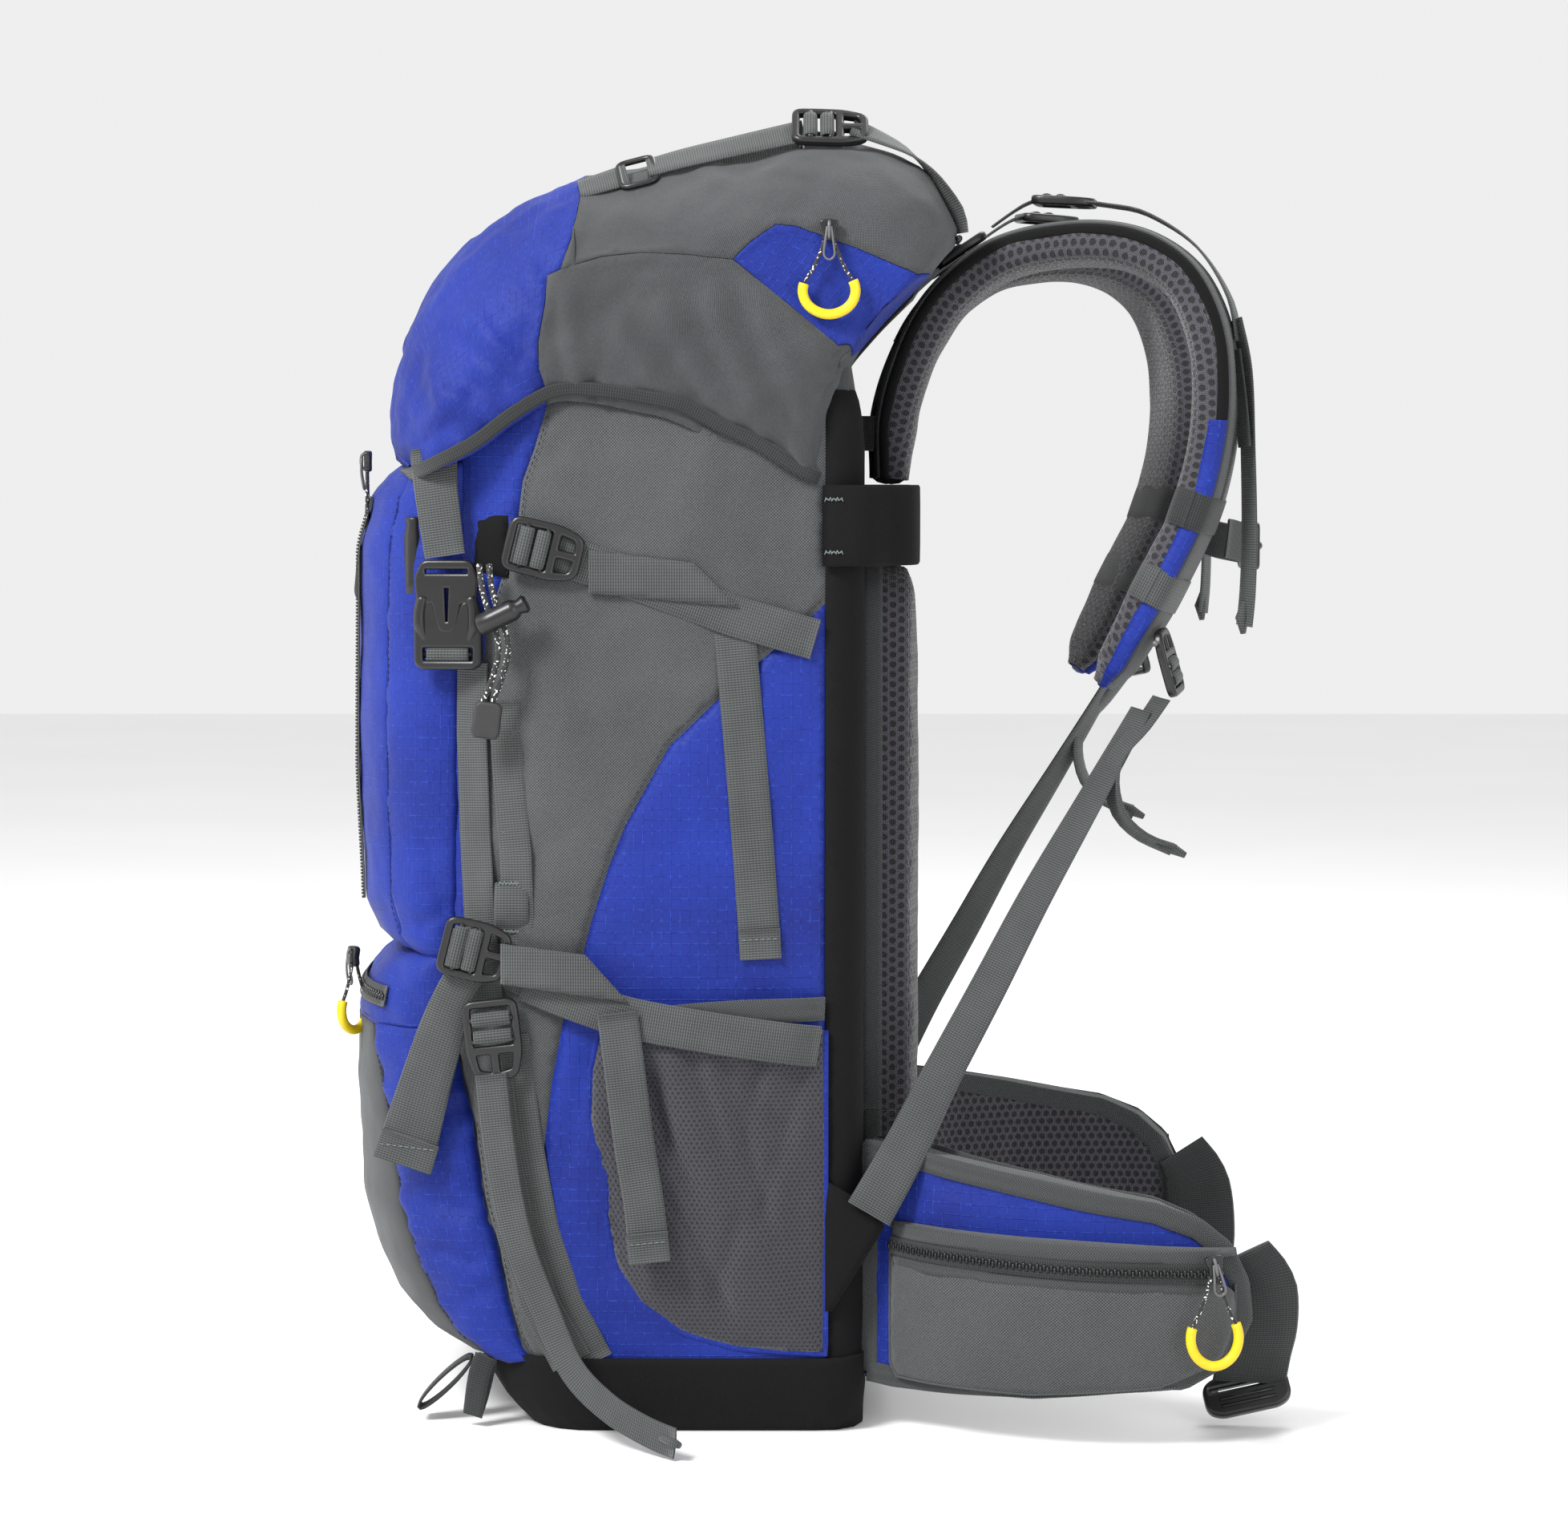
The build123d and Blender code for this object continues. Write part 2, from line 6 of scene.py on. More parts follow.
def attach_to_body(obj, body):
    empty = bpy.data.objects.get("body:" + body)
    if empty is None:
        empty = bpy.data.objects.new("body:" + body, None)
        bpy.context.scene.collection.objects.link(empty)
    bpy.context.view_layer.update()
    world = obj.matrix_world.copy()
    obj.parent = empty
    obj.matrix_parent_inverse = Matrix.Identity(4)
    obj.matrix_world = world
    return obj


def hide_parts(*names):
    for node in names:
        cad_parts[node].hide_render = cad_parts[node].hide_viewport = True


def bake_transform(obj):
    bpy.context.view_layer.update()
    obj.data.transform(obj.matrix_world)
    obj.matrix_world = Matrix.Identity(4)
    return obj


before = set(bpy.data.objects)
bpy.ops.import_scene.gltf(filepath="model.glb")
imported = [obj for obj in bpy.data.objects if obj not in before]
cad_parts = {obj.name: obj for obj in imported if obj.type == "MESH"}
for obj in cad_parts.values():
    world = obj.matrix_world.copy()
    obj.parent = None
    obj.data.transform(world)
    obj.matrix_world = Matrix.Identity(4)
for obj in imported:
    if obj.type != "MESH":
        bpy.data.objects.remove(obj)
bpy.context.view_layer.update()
MM = 0.001
SIDES = (("right", 1), ("left", -1))

# ---------------------------------------------------------------- material nodes


class Finish:
    """A procedural material; its small methods each add one node and return a socket."""

    def __init__(self, name, rough=0.8, specular=0.3, sheen=0.0, metallic=0.0, coat=0.0):
        self.material = bpy.data.materials.new(name)
        self.material.use_nodes = True
        self.tree = self.material.node_tree
        self.shader = self.tree.nodes["Principled BSDF"]
        self.shader.inputs["Roughness"].default_value = rough
        self.shader.inputs["Specular IOR Level"].default_value = specular
        self.shader.inputs["Sheen Weight"].default_value = sheen
        self.shader.inputs["Metallic"].default_value = metallic
        self.shader.inputs["Coat Weight"].default_value = coat
        uv = self.tree.nodes.new("ShaderNodeUVMap")
        uv.uv_map = "cloth"
        split = self.tree.nodes.new("ShaderNodeSeparateXYZ")
        self.tree.links.new(uv.outputs[0], split.inputs[0])
        self.u, self.v = split.outputs[0], split.outputs[1]
        self.place = self.tree.nodes.new("ShaderNodeTexCoord").outputs["Object"]

    def put(self, value, socket):
        if isinstance(value, (int, float)):
            socket.default_value = value
        elif isinstance(value, tuple):
            socket.default_value = (*value, 1.0)
        else:
            self.tree.links.new(value, socket)

    def math(self, kind, a, b=0.0, c=0.0):
        node = self.tree.nodes.new("ShaderNodeMath")
        node.operation = kind
        for value, socket in zip((a, b, c), node.inputs):
            self.put(value, socket)
        return node.outputs[0]

    def wave(self, coordinate, pitch, shift=0.0):
        """0 to 1 and back over each pitch."""
        turned = self.math("MULTIPLY_ADD", coordinate, 2 * math.pi / pitch, shift)
        return self.math("MULTIPLY_ADD", self.math("SINE", turned), 0.5, 0.5)

    def step(self, value, low, high):
        node = self.tree.nodes.new("ShaderNodeMapRange")
        node.interpolation_type = "SMOOTHSTEP"
        self.put(value, node.inputs["Value"])
        node.inputs["From Min"].default_value = low
        node.inputs["From Max"].default_value = high
        return node.outputs[0]

    def noise(self, scale, detail=2.0, where=None):
        node = self.tree.nodes.new("ShaderNodeTexNoise")
        node.inputs["Scale"].default_value = scale
        node.inputs["Detail"].default_value = detail
        self.put(where or self.place, node.inputs["Vector"])
        return node.outputs["Fac"]

    def mix(self, share, first, second):
        node = self.tree.nodes.new("ShaderNodeMix")
        node.data_type = "RGBA"
        self.put(share, node.inputs["Factor"])
        self.put(first, node.inputs[6])
        self.put(second, node.inputs[7])
        return node.outputs[2]

    def colour(self, value):
        self.put(value, self.shader.inputs["Base Color"])

    def bump(self, height, depth_mm, strength=1.0):
        node = self.tree.nodes.new("ShaderNodeBump")
        node.inputs["Strength"].default_value = strength
        node.inputs["Distance"].default_value = depth_mm * MM
        self.put(height, node.inputs["Height"])
        last = self.shader.inputs["Normal"]
        if last.is_linked:
            self.put(last.links[0].from_socket, node.inputs["Normal"])
        self.put(node.outputs[0], last)


def weave_finish(name, dark, light, pitch, depth, rough=0.85, sheen=0.15, slub=0.35):
    """Plain weave: warp and weft threads crossing at a pitch, with slubs and fading."""
    f = Finish(name, rough, 0.25, sheen)
    cross = f.math("MULTIPLY", f.wave(f.u, pitch * 2), f.wave(f.v, pitch * 2))
    other = f.math("MULTIPLY", f.wave(f.u, pitch * 2, math.pi), f.wave(f.v, pitch * 2, math.pi))
    threads = f.math("ADD", cross, other)
    fading = f.math("MULTIPLY_ADD", f.noise(14), slub, -slub / 2)
    spun = f.math("MULTIPLY_ADD", f.noise(900, 1), slub, -slub / 2)
    share = f.math("ADD", f.math("ADD", threads, fading), spun)
    f.colour(f.mix(share, dark, light))
    f.bump(threads, depth)
    f.bump(f.noise(60, 3), 0.5)
    return f.material


def grid_lines(f, pitch_u, pitch_v, width):
    """1 on ripstop reinforcement lines."""
    lines = []
    for coordinate, pitch in ((f.u, pitch_u), (f.v, pitch_v)):
        near = f.math("PINGPONG", coordinate, pitch / 2)
        lines.append(f.step(near, width, width * 0.35))
    return f.math("MAXIMUM", *lines)


def ripstop_finish(name, dark, light, line):
    f = Finish(name, 0.6, 0.25, 0.04)
    lines = grid_lines(f, 4.6, 5.6, 0.34)
    broken = f.math("MULTIPLY", lines, f.step(f.noise(420, 1), 0.4, 0.75))
    cloth = f.mix(f.math("MULTIPLY_ADD", f.noise(18, 3), 1.4, -0.2), dark, light)
    f.colour(f.mix(broken, cloth, line))
    f.bump(f.wave(f.v, 0.9), 0.05)
    f.bump(lines, 0.22)
    f.bump(f.noise(45, 4), 1.2, 0.8)
    return f.material


def webbing_finish(name, dark, light, rough=0.75):
    """Woven webbing: ribs across its width, ticks along them, and a random mottle."""
    f = Finish(name, rough, 0.3, 0.15)
    ribs = f.wave(f.u, 1.25)
    ticks = f.wave(f.v, 1.6)
    raised = f.math("MULTIPLY_ADD", ticks, 0.3, f.math("MULTIPLY", ribs, 0.7))
    share = f.math("ADD", raised, f.math("MULTIPLY_ADD", f.noise(40), 0.4, -0.2))
    f.colour(f.mix(share, dark, light))
    f.bump(raised, 0.28)
    return f.material


def binding_finish(name, dark, light):
    """Herringbone tape: slanted ribs that turn about at each band."""
    f = Finish(name, 0.8, 0.3, 0.15)
    fold = f.math("PINGPONG", f.v, 2.6)
    ribs = f.wave(f.math("ADD", f.u, fold), 1.3)
    f.colour(f.mix(ribs, dark, light))
    f.bump(ribs, 0.25)
    return f.material


def mesh_finish(name, thread, hole, pitch, share, depth, painted_shine=None):
    """Knitted mesh: round holes on a staggered grid, with a painted shine (a painted highlight) on
    the threads.
    """
    f = Finish(name, 0.72, 0.35, 0.3)
    rise = pitch * 0.866
    far = []
    for shift in (0.0, 0.5):
        du = f.math("PINGPONG", f.math("ADD", f.u, shift * pitch), pitch / 2)
        dv = f.math("PINGPONG", f.math("ADD", f.v, shift * 2 * rise), rise)
        du = f.math("MULTIPLY", du, du)
        dv = f.math("MULTIPLY", dv, dv)
        far.append(f.math("SQRT", f.math("ADD", du, dv)))
    distance = f.math("MINIMUM", *far)
    edge = pitch * share
    solid = f.step(distance, edge * 0.8, edge * 1.15)
    # The thread grain is a real bump and also the mask of a painted highlight.
    grain_and_painted_shine = f.math("MULTIPLY", f.wave(f.u, pitch / 5), f.wave(f.v, pitch / 5))
    # The thread colour is lifted towards the shine colour on the grain's peaks: a painted
    # highlight, not the thread's own colour.
    thread_with_painted_shine = f.mix(f.math("MULTIPLY", grain_and_painted_shine, 0.7), thread, painted_shine or thread)
    f.colour(f.mix(solid, hole, thread_with_painted_shine))
    f.bump(solid, depth)
    f.bump(grain_and_painted_shine, depth * 0.2)
    return f.material


def plastic_finish(name, dark, light, rough=0.34):
    f = Finish(name, rough, 0.5)
    f.colour(f.mix(f.noise(90, 3), dark, light))
    f.bump(f.noise(1400, 2), 0.03)
    f.bump(f.noise(120, 2), 0.12, 0.6)
    return f.material


def cord_finish(name):
    """Black braid with white flecks."""
    f = Finish(name, 0.6, 0.35, 0.2)
    flecks = f.step(f.noise(820, 0.5), 0.63, 0.66)
    f.colour(f.mix(flecks, (0.012, 0.012, 0.013), (0.75, 0.75, 0.72)))
    f.bump(f.noise(1500, 1), 0.2)
    return f.material


GREY = weave_finish("weave_grey", (0.014, 0.015, 0.016), (0.105, 0.11, 0.114), 0.75, 0.34)
LID_GREY = weave_finish("weave_grey_lid", (0.013, 0.014, 0.015), (0.088, 0.093, 0.098), 0.6,
                        0.26)
SMOOTH_GREY = weave_finish("weave_grey_fine", (0.022, 0.0235, 0.026), (0.06, 0.064, 0.068), 0.4,
                           0.1)
BLUE = ripstop_finish("ripstop_blue", (0.0018, 0.0085, 0.13), (0.005, 0.024, 0.26),
                      (0.014, 0.05, 0.36))
BLACK = weave_finish("weave_black", (0.0015, 0.0015, 0.0018), (0.005, 0.005, 0.0055), 0.5, 0.12,
                     0.95, 0.0)
LINING = weave_finish("weave_lining", (0.02, 0.021, 0.022), (0.05, 0.05, 0.052), 0.5, 0.1)
WEB = webbing_finish("webbing_grey", (0.016, 0.0175, 0.018), (0.085, 0.091, 0.091))
DARK_WEB = webbing_finish("webbing_dark", (0.006, 0.0065, 0.007), (0.03, 0.032, 0.033))
BINDING = binding_finish("binding_tape", (0.014, 0.0155, 0.016), (0.07, 0.075, 0.077))
# The last colour of each mesh finish below is its painted shine: a painted highlight on the
# threads.
SPACER = mesh_finish("mesh_spacer", (0.03, 0.028, 0.036), (0.003, 0.003, 0.005), 5.0, 0.33, 1.4,
                     (0.12, 0.112, 0.14))
FINE_MESH = mesh_finish("mesh_fine", (0.024, 0.0225, 0.029), (0.003, 0.003, 0.005), 2.8, 0.3, 0.6,
                        (0.08, 0.076, 0.095))
STRETCH = mesh_finish("mesh_stretch", (0.008, 0.0078, 0.013), (0.002, 0.002, 0.004), 2.6, 0.27,
                      0.5, (0.13, 0.128, 0.16))
PLASTIC = plastic_finish("plastic_black", (0.004, 0.004, 0.0045), (0.009, 0.009, 0.01))
RUBBER = plastic_finish("rubber_black", (0.01, 0.01, 0.011), (0.025, 0.025, 0.026), 0.6)
YELLOW = plastic_finish("grip_yellow", (0.62, 0.44, 0.0), (0.78, 0.58, 0.004), 0.42)
METAL = plastic_finish("metal_pin", (0.07, 0.07, 0.074), (0.13, 0.13, 0.135), 0.28)
CORD = cord_finish("cord_flecked")
NAVY_THREAD = weave_finish("thread_navy", (0.002, 0.003, 0.02), (0.004, 0.007, 0.045), 0.4, 0.1)
DARK_THREAD = weave_finish("thread_dark", (0.012, 0.012, 0.013), (0.03, 0.03, 0.032), 0.4, 0.1)
PALE_THREAD = weave_finish("thread_pale", (0.1, 0.13, 0.13), (0.22, 0.27, 0.26), 0.4, 0.2)
FRAME_SHEET = plastic_finish("frame_sheet", (0.02, 0.02, 0.021), (0.03, 0.03, 0.032), 0.5)

# ---------------------------------------------------------------- making pieces


def linked(name, data):
    """A new object holding the data, placed in the scene."""
    ob = bpy.data.objects.new(name, data)
    bpy.context.scene.collection.objects.link(ob)
    return ob


def evaluated_mesh(ob):
    """The mesh that an object gives with its curve settings applied."""
    graph = bpy.context.evaluated_depsgraph_get()
    return bpy.data.meshes.new_from_object(ob.evaluated_get(graph))


def claim(ob, body, nodes=()):
    """Says what an object rides on and which nodes it replaces."""
    if body:
        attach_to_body(ob, body)
    if nodes:
        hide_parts(*nodes)
    return ob


def piece(name, verts, faces, material, body, nodes=(), coords=None, thick=0.0, side=1):
    """A mesh piece from points in mm; side -1 mirrors it to the wearer's left."""
    mesh = bpy.data.meshes.new(name)
    points = [(v[0] * side * MM, v[1] * MM, v[2] * MM) for v in verts]
    turned = [tuple(reversed(f)) if side < 0 else tuple(f) for f in faces]
    mesh.from_pydata(points, [], turned)
    if coords:
        layer = mesh.uv_layers.new(name="cloth")
        for loop in mesh.loops:
            layer.data[loop.index].uv = coords[loop.vertex_index]
    mesh.materials.append(material)
    mesh.shade_smooth()
    ob = linked(name, mesh)
    if thick:
        skin = ob.modifiers.new("thickness", "SOLIDIFY")
        skin.thickness = thick * MM
        skin.offset = -1
    return claim(ob, body, nodes)


CLOTH_SETTINGS = {"vertex_group_mass": "sewn", "mass": 0.05, "tension_stiffness": 20,
                  "compression_stiffness": 8, "shear_stiffness": 8, "bending_stiffness": 0.2,
                  "use_pressure": True}


def swell(ob, border, push, limit=2.6, frames=10):
    """A short cloth simulation: the sewn border is held and the rest is blown outward."""
    scene = bpy.context.scene
    sewn = ob.vertex_groups.new(name="sewn")
    sewn.add(list(range(border)), 1.0, "REPLACE")
    others = list(ob.modifiers)
    for modifier in others:
        modifier.show_viewport = False
    cloth = ob.modifiers.new("swell", "CLOTH")
    ob.modifiers.move(len(ob.modifiers) - 1, 0)
    for key, value in CLOTH_SETTINGS.items():
        setattr(cloth.settings, key, value)
    cloth.settings.uniform_pressure_force = push
    cloth.settings.effector_weights.gravity = 0.0
    cloth.collision_settings.use_collision = False
    cloth.point_cache.frame_end = frames
    for frame_number in range(1, frames + 1):
        scene.frame_set(frame_number)
    made = ob.evaluated_get(bpy.context.evaluated_depsgraph_get()).data
    if len(made.vertices) == len(ob.data.vertices):
        for vertex, moved in zip(ob.data.vertices, made.vertices):
            shift = moved.co - vertex.co
            if shift.length > limit * MM:
                shift = shift.normalized() * limit * MM
            vertex.co = vertex.co + shift
    ob.modifiers.remove(cloth)
    for modifier in others:
        modifier.show_viewport = True
    scene.frame_set(1)


def both(make):
    """Runs a maker for the wearer's right and left."""
    return [make(label, side) for label, side in SIDES]


def ring_faces(rows, size):
    """Faces between rows of closed rings of the same size."""
    return [(j * size + k, j * size + (k + 1) % size, (j + 1) * size + (k + 1) % size,
             (j + 1) * size + k) for j in range(rows - 1) for k in range(size)]


def sheet_faces(rows, columns):
    """Faces of an open grid that is rows by columns faces large."""
    width = columns + 1
    return [(k, k + 1, k + width + 1, k + width)
            for j in range(rows) for k in range(j * width, j * width + columns)]


def table_value(table, x):
    """Smooth reading of a table of (x, value)."""
    if x <= table[0][0]:
        return table[0][1]
    for (x0, v0), (x1, v1) in zip(table, table[1:]):
        if x <= x1:
            t = (x - x0) / (x1 - x0)
            return v0 + (v1 - v0) * (t * t * (3 - 2 * t) * 0.35 + t * 0.65)
    return table[-1][1]


def spline(points, count):
    """count points, evenly spaced, on a smooth curve through points of any dimension."""
    points = [Vector(p) for p in points]
    fine = []
    for i in range(len(points) - 1):
        before = points[max(i - 1, 0)]
        first, second = points[i], points[i + 1]
        after = points[min(i + 2, len(points) - 1)]
        for k in range(24):
            t = k / 24
            m0, m1 = (second - before) / 2, (after - first) / 2
            fine.append(first * (2 * t ** 3 - 3 * t ** 2 + 1) + m0 * (t ** 3 - 2 * t ** 2 + t)
                        + second * (3 * t ** 2 - 2 * t ** 3) + m1 * (t ** 3 - t ** 2))
    fine.append(points[-1])
    return resample(fine, count)


def resample(fine, count):
    """count points, evenly spaced, on a polyline."""
    lengths = [0.0]
    for first, second in zip(fine, fine[1:]):
        lengths.append(lengths[-1] + (second - first).length)
    result, i = [], 0
    for k in range(count):
        want = lengths[-1] * k / (count - 1)
        while i < len(lengths) - 2 and lengths[i + 1] < want:
            i += 1
        span = max(lengths[i + 1] - lengths[i], 1e-9)
        result.append(fine[i].lerp(fine[i + 1], (want - lengths[i]) / span))
    return result


def run_length(points):
    """The length of a polyline."""
    return sum((b - a).length for a, b in zip(points, points[1:]))


def smooth(x):
    """0 to 1 with a soft start and end."""
    x = min(max(x, 0.0), 1.0)
    return x * x * (3 - 2 * x)


def normal_at(chart, a, b):
    """The outward normal of a chart."""
    step = 0.6
    across = chart(a + step, b) - chart(a - step, b)
    up = chart(a, b + step) - chart(a, b - step)
    n = across.cross(up)
    return n.normalized() if n.length > 1e-9 else Vector((1, 0, 0))


def inside(point, outline):
    """Whether a point lies in a closed outline."""
    hit = False
    x, y = point
    for (x0, y0), (x1, y1) in zip(outline, outline[1:] + outline[:1]):
        if (y0 > y) != (y1 > y) and x < (x1 - x0) * (y - y0) / (y1 - y0) + x0:
            hit = not hit
    return hit


def dense(outline, cell, closed=True):
    """The outline with points no further apart than the cell."""
    result = []
    ends = outline[1:] + outline[:1] if closed else outline[1:]
    for first, second in zip(outline, ends):
        first, second = Vector(first), Vector(second)
        count = max(1, math.ceil((second - first).length / cell))
        result += [first.lerp(second, k / count) for k in range(count)]
    if not closed:
        result.append(Vector(outline[-1]))
    return result


def tree_of(points):
    """A search tree of 2-D or 3-D points."""
    tree = kdtree.KDTree(len(points))
    for i, p in enumerate(points):
        tree.insert(Vector(p).to_3d(), i)
    tree.balance()
    return tree


def crease(p, folds):
    """Folds pressed into cloth: each is (y0, z0, y1, z1, width, depth)."""
    height = 0.0
    for y0, z0, y1, z1, width, depth in folds:
        start, way = Vector((y0, z0)), Vector((y1 - y0, z1 - z0))
        reach = way.length
        way /= reach
        off = Vector((p[1], p[2])) - start
        along = off.dot(way) / reach
        if -0.1 < along < 1.1:
            fade = smooth((along + 0.1) / 0.3) * smooth((1.1 - along) / 0.3)
            height -= depth * fade * math.exp(-(off.cross(way) / width) ** 2)
    return height


def patch(name, chart, outline, material, body="pack", nodes=(), cell=4.5, puff=1.6, reach=16.0,
          tuck=0.9, folds=(), rumple=0.5, lift=0.0, free=(), thick=1.0, side=1, shape=None):
    """One cut panel: an outline on a chart, filled, puffed up between its seams."""
    border = dense(outline, cell)
    loop = [tuple(p) for p in border]
    tree = tree_of(dense(free, cell / 2, False) if free else dense(outline, cell / 2))
    low = [min(p[i] for p in loop) for i in (0, 1)]
    high = [max(p[i] for p in loop) for i in (0, 1)]
    edge = tree_of(loop)
    flat = list(loop)
    rise = cell * 0.866
    for j in range(int((high[1] - low[1]) / rise) + 1):
        for i in range(int((high[0] - low[0]) / cell) + 2):
            p = (low[0] + (i + 0.5 * (j % 2)) * cell, low[1] + j * rise)
            if edge.find((*p, 0))[2] > cell * 0.6 and inside(p, loop):
                flat.append(p)
    made = geometry.delaunay_2d_cdt([Vector(p) for p in flat], [], [list(range(len(loop)))],
                                    1, 1e-5)
    verts = []
    for a, b in made[0]:
        d = tree.find((a, b, 0))[2]
        p = chart(a, b)
        n = normal_at(chart, a, b)
        h = lift + puff * (1 - math.exp(-d / reach)) - tuck * math.exp(-d / 2.2)
        if folds:
            h += crease(p, folds) * (1 - math.exp(-d / 6))
        if rumple:
            h += rumple * (noise.noise(p * 0.035) + 0.5 * noise.noise(p * 0.09)) * min(1, d / 8)
        if shape:
            h += shape(p, d)
        verts.append(p + n * h)
    coords = [tuple(p) for p in made[0]]
    faces = []
    for face in made[2]:
        a, b, c = (made[0][i] for i in face[:3])
        faces.append(face if (b - a).cross(c - a) > 0 else face[::-1])
    return piece(name, verts, faces, material, body, nodes, coords, thick, side)


def stitches(name, points, normals, material, body="pack", pitch=3.3, size=(2.3, 0.34), side=1,
             lift=0.25):
    """A row of thread stitches lying along points."""
    count = max(3, int(run_length(points) / pitch))
    line = resample(points, count)
    tree = tree_of(points)
    verts, faces = [], []
    for i in range(count - 1):
        way = (line[i + 1] - line[i]).normalized()
        n = normals[tree.find(line[i])[1]]
        across = n.cross(way).normalized()
        centre = line[i].lerp(line[i + 1], 0.5) + n * lift
        base = len(verts)
        for t, r in ((-0.5, 0.45), (0, 1.0), (0.5, 0.45)):
            for angle in (0, 0.5, 1, 1.5):
                turn = angle * math.pi
                verts.append(centre + way * (t * size[0]) + across * (math.cos(turn) * r * size[1])
                             + n * (math.sin(turn) * r * size[1]))
        for ring in (0, 4):
            for k in range(4):
                q = (k + 1) % 4
                faces.append((base + ring + k, base + ring + q, base + ring + 4 + q,
                              base + ring + 4 + k))
        faces += [(base + 3, base + 2, base + 1, base), (base + 8, base + 9, base + 10, base + 11)]
    coords = [(v[1], v[2]) for v in verts]
    return piece(name, verts, faces, material, body, coords=coords, side=side)


def seam(name, chart, line, material, body="pack", side=1, lift=0.3, cell=3.0, **more):
    """Stitches along a line on a chart."""
    points, _, normals = lay(chart, line, lift, cell)
    return stitches(name, points, normals, material, body, side=side, **more)


def ribbon(name, centres, across, width, material, body, nodes=(), thick=1.4, side=1, steps=None,
           curl=0.0, widths=None):
    """Webbing along centres (mm); across gives its width direction at each, or at the ends."""
    centres = [Vector(c) for c in centres]
    length = run_length(centres)
    steps = steps or max(8, int(length / 5))
    line = spline(centres, steps)
    ways = [Vector(w) for w in across]
    ways = spline(ways, steps) if len(ways) > 1 else ways * steps
    verts, coords = [], []
    profile = [(-0.5, 0), (-0.47, 0.42), (-0.25, 0.5), (0, 0.5), (0.25, 0.5), (0.47, 0.42),
               (0.5, 0), (0.47, -0.42), (0.25, -0.5), (0, -0.5), (-0.25, -0.5), (-0.47, -0.42)]
    size = len(profile)
    run = 0.0
    for i, centre in enumerate(line):
        run += (centre - line[i - 1]).length if i else 0.0
        along = (line[min(i + 1, steps - 1)] - line[max(i - 1, 0)]).normalized()
        way = (ways[i] - along * ways[i].dot(along)).normalized()
        n = along.cross(way)
        w = table_value(widths, i / (steps - 1)) if widths else width
        for a, h in profile:
            bow = curl * (4 * a * a - 0.3)
            verts.append(centre + way * (a * w) + n * (h * thick + bow))
            coords.append((run, a * w))
    faces = ring_faces(steps, size)
    faces.append(tuple(range(size)))
    faces.append(tuple(reversed(range((steps - 1) * size, steps * size))))
    faces = [f[::-1] for f in faces]
    return piece(name, verts, faces, material, body, nodes, coords, side=side)


def lay(chart, line, lift=1.2, cell=5.0):
    """Points, width directions and normals for webbing lying on a chart."""
    points, normals = [], []
    for a, b in dense(line, cell, False):
        n = normal_at(chart, a, b)
        points.append(chart(a, b) + n * lift)
        normals.append(n)
    ways = []
    for i, n in enumerate(normals):
        along = points[min(i + 1, len(points) - 1)] - points[max(i - 1, 0)]
        ways.append(n.cross(along).normalized())
    return points, ways, normals


def bar_tack(name, centre, along, across, normal, width, body="pack", side=1, rows=3):
    """A dense zigzag of pale thread across webbing."""
    along, across, normal = (Vector(v).normalized() for v in (along, across, normal))
    points = []
    for k in range(int(width / 0.9)):
        swing = (k % 2 - 0.5) * rows * 0.7
        points.append(Vector(centre) + across * (k * 0.9 - width / 2) + along * swing)
    return stitches(name, points, [normal] * len(points), PALE_THREAD, body, 1.6, (2.0, 0.3),
                    side)


def plate(name, outlines, thickness, bevel, place, material, body, nodes=(), side=1):
    """A moulded plate with rounded edges; the outlines after the first are holes."""
    curve = bpy.data.curves.new(name, "CURVE")
    curve.dimensions = "2D"
    curve.fill_mode = "BOTH"
    curve.extrude = max(thickness / 2 - bevel, 0.05) * MM
    curve.bevel_depth = bevel * MM
    curve.bevel_resolution = 2
    for k, outline in enumerate(outlines):
        part = curve.splines.new("POLY")
        part.points.add(len(outline) - 1)
        centre = sum((Vector(p) for p in outline), Vector((0, 0))) / len(outline)
        grow = -bevel if k == 0 else bevel
        for point, p in zip(part.points, outline):
            off = Vector(p) - centre
            reach = 1 + grow / max(off.length, 1.0)
            x, y = centre + off * reach
            point.co = (x * MM, y * MM, 0, 1)
        part.use_cyclic_u = True
    made = linked(name + "_curve", curve)
    mesh = evaluated_mesh(made)
    bpy.data.objects.remove(made)
    bpy.data.curves.remove(curve)
    frame_in_metres = place.copy()
    frame_in_metres.translation *= MM
    mesh.transform(frame_in_metres)
    if side < 0:
        mesh.transform(Matrix.Scale(-1, 4, (1, 0, 0)))
        mesh.flip_normals()
    mesh.materials.clear()
    mesh.materials.append(material)
    mesh.shade_smooth()
    mesh.set_sharp_from_angle(angle=math.radians(50))
    ob = linked(name, mesh)
    return claim(ob, body, nodes)


def rounded(points, radius, count=4):
    """A 2-D outline with its corners rounded."""
    result = []
    for i, here in enumerate(points):
        here = Vector(here)
        before = (Vector(points[i - 1]) - here)
        after = (Vector(points[(i + 1) % len(points)]) - here)
        cut = min(radius, before.length / 2, after.length / 2)
        a, b = here + before.normalized() * cut, here + after.normalized() * cut
        for k in range(count + 1):
            t = k / count
            result.append(tuple(a * (1 - t) ** 2 + here * 2 * t * (1 - t) + b * t * t))
    return result


def box_outline(x0, y0, x1, y1, radius=2.0):
    """A rectangle with rounded corners."""
    return rounded([(x0, y0), (x1, y0), (x1, y1), (x0, y1)], radius)


def place_at(origin, x_way, z_way):
    """A placement with its own Z along z_way and its X as near x_way as it can be."""
    z = Vector(z_way).normalized()
    x = Vector(x_way)
    x = (x - z * x.dot(z)).normalized()
    y = z.cross(x)
    turn = Matrix((x, y, z)).transposed().to_4x4()
    return Matrix.Translation(Vector(origin)) @ turn


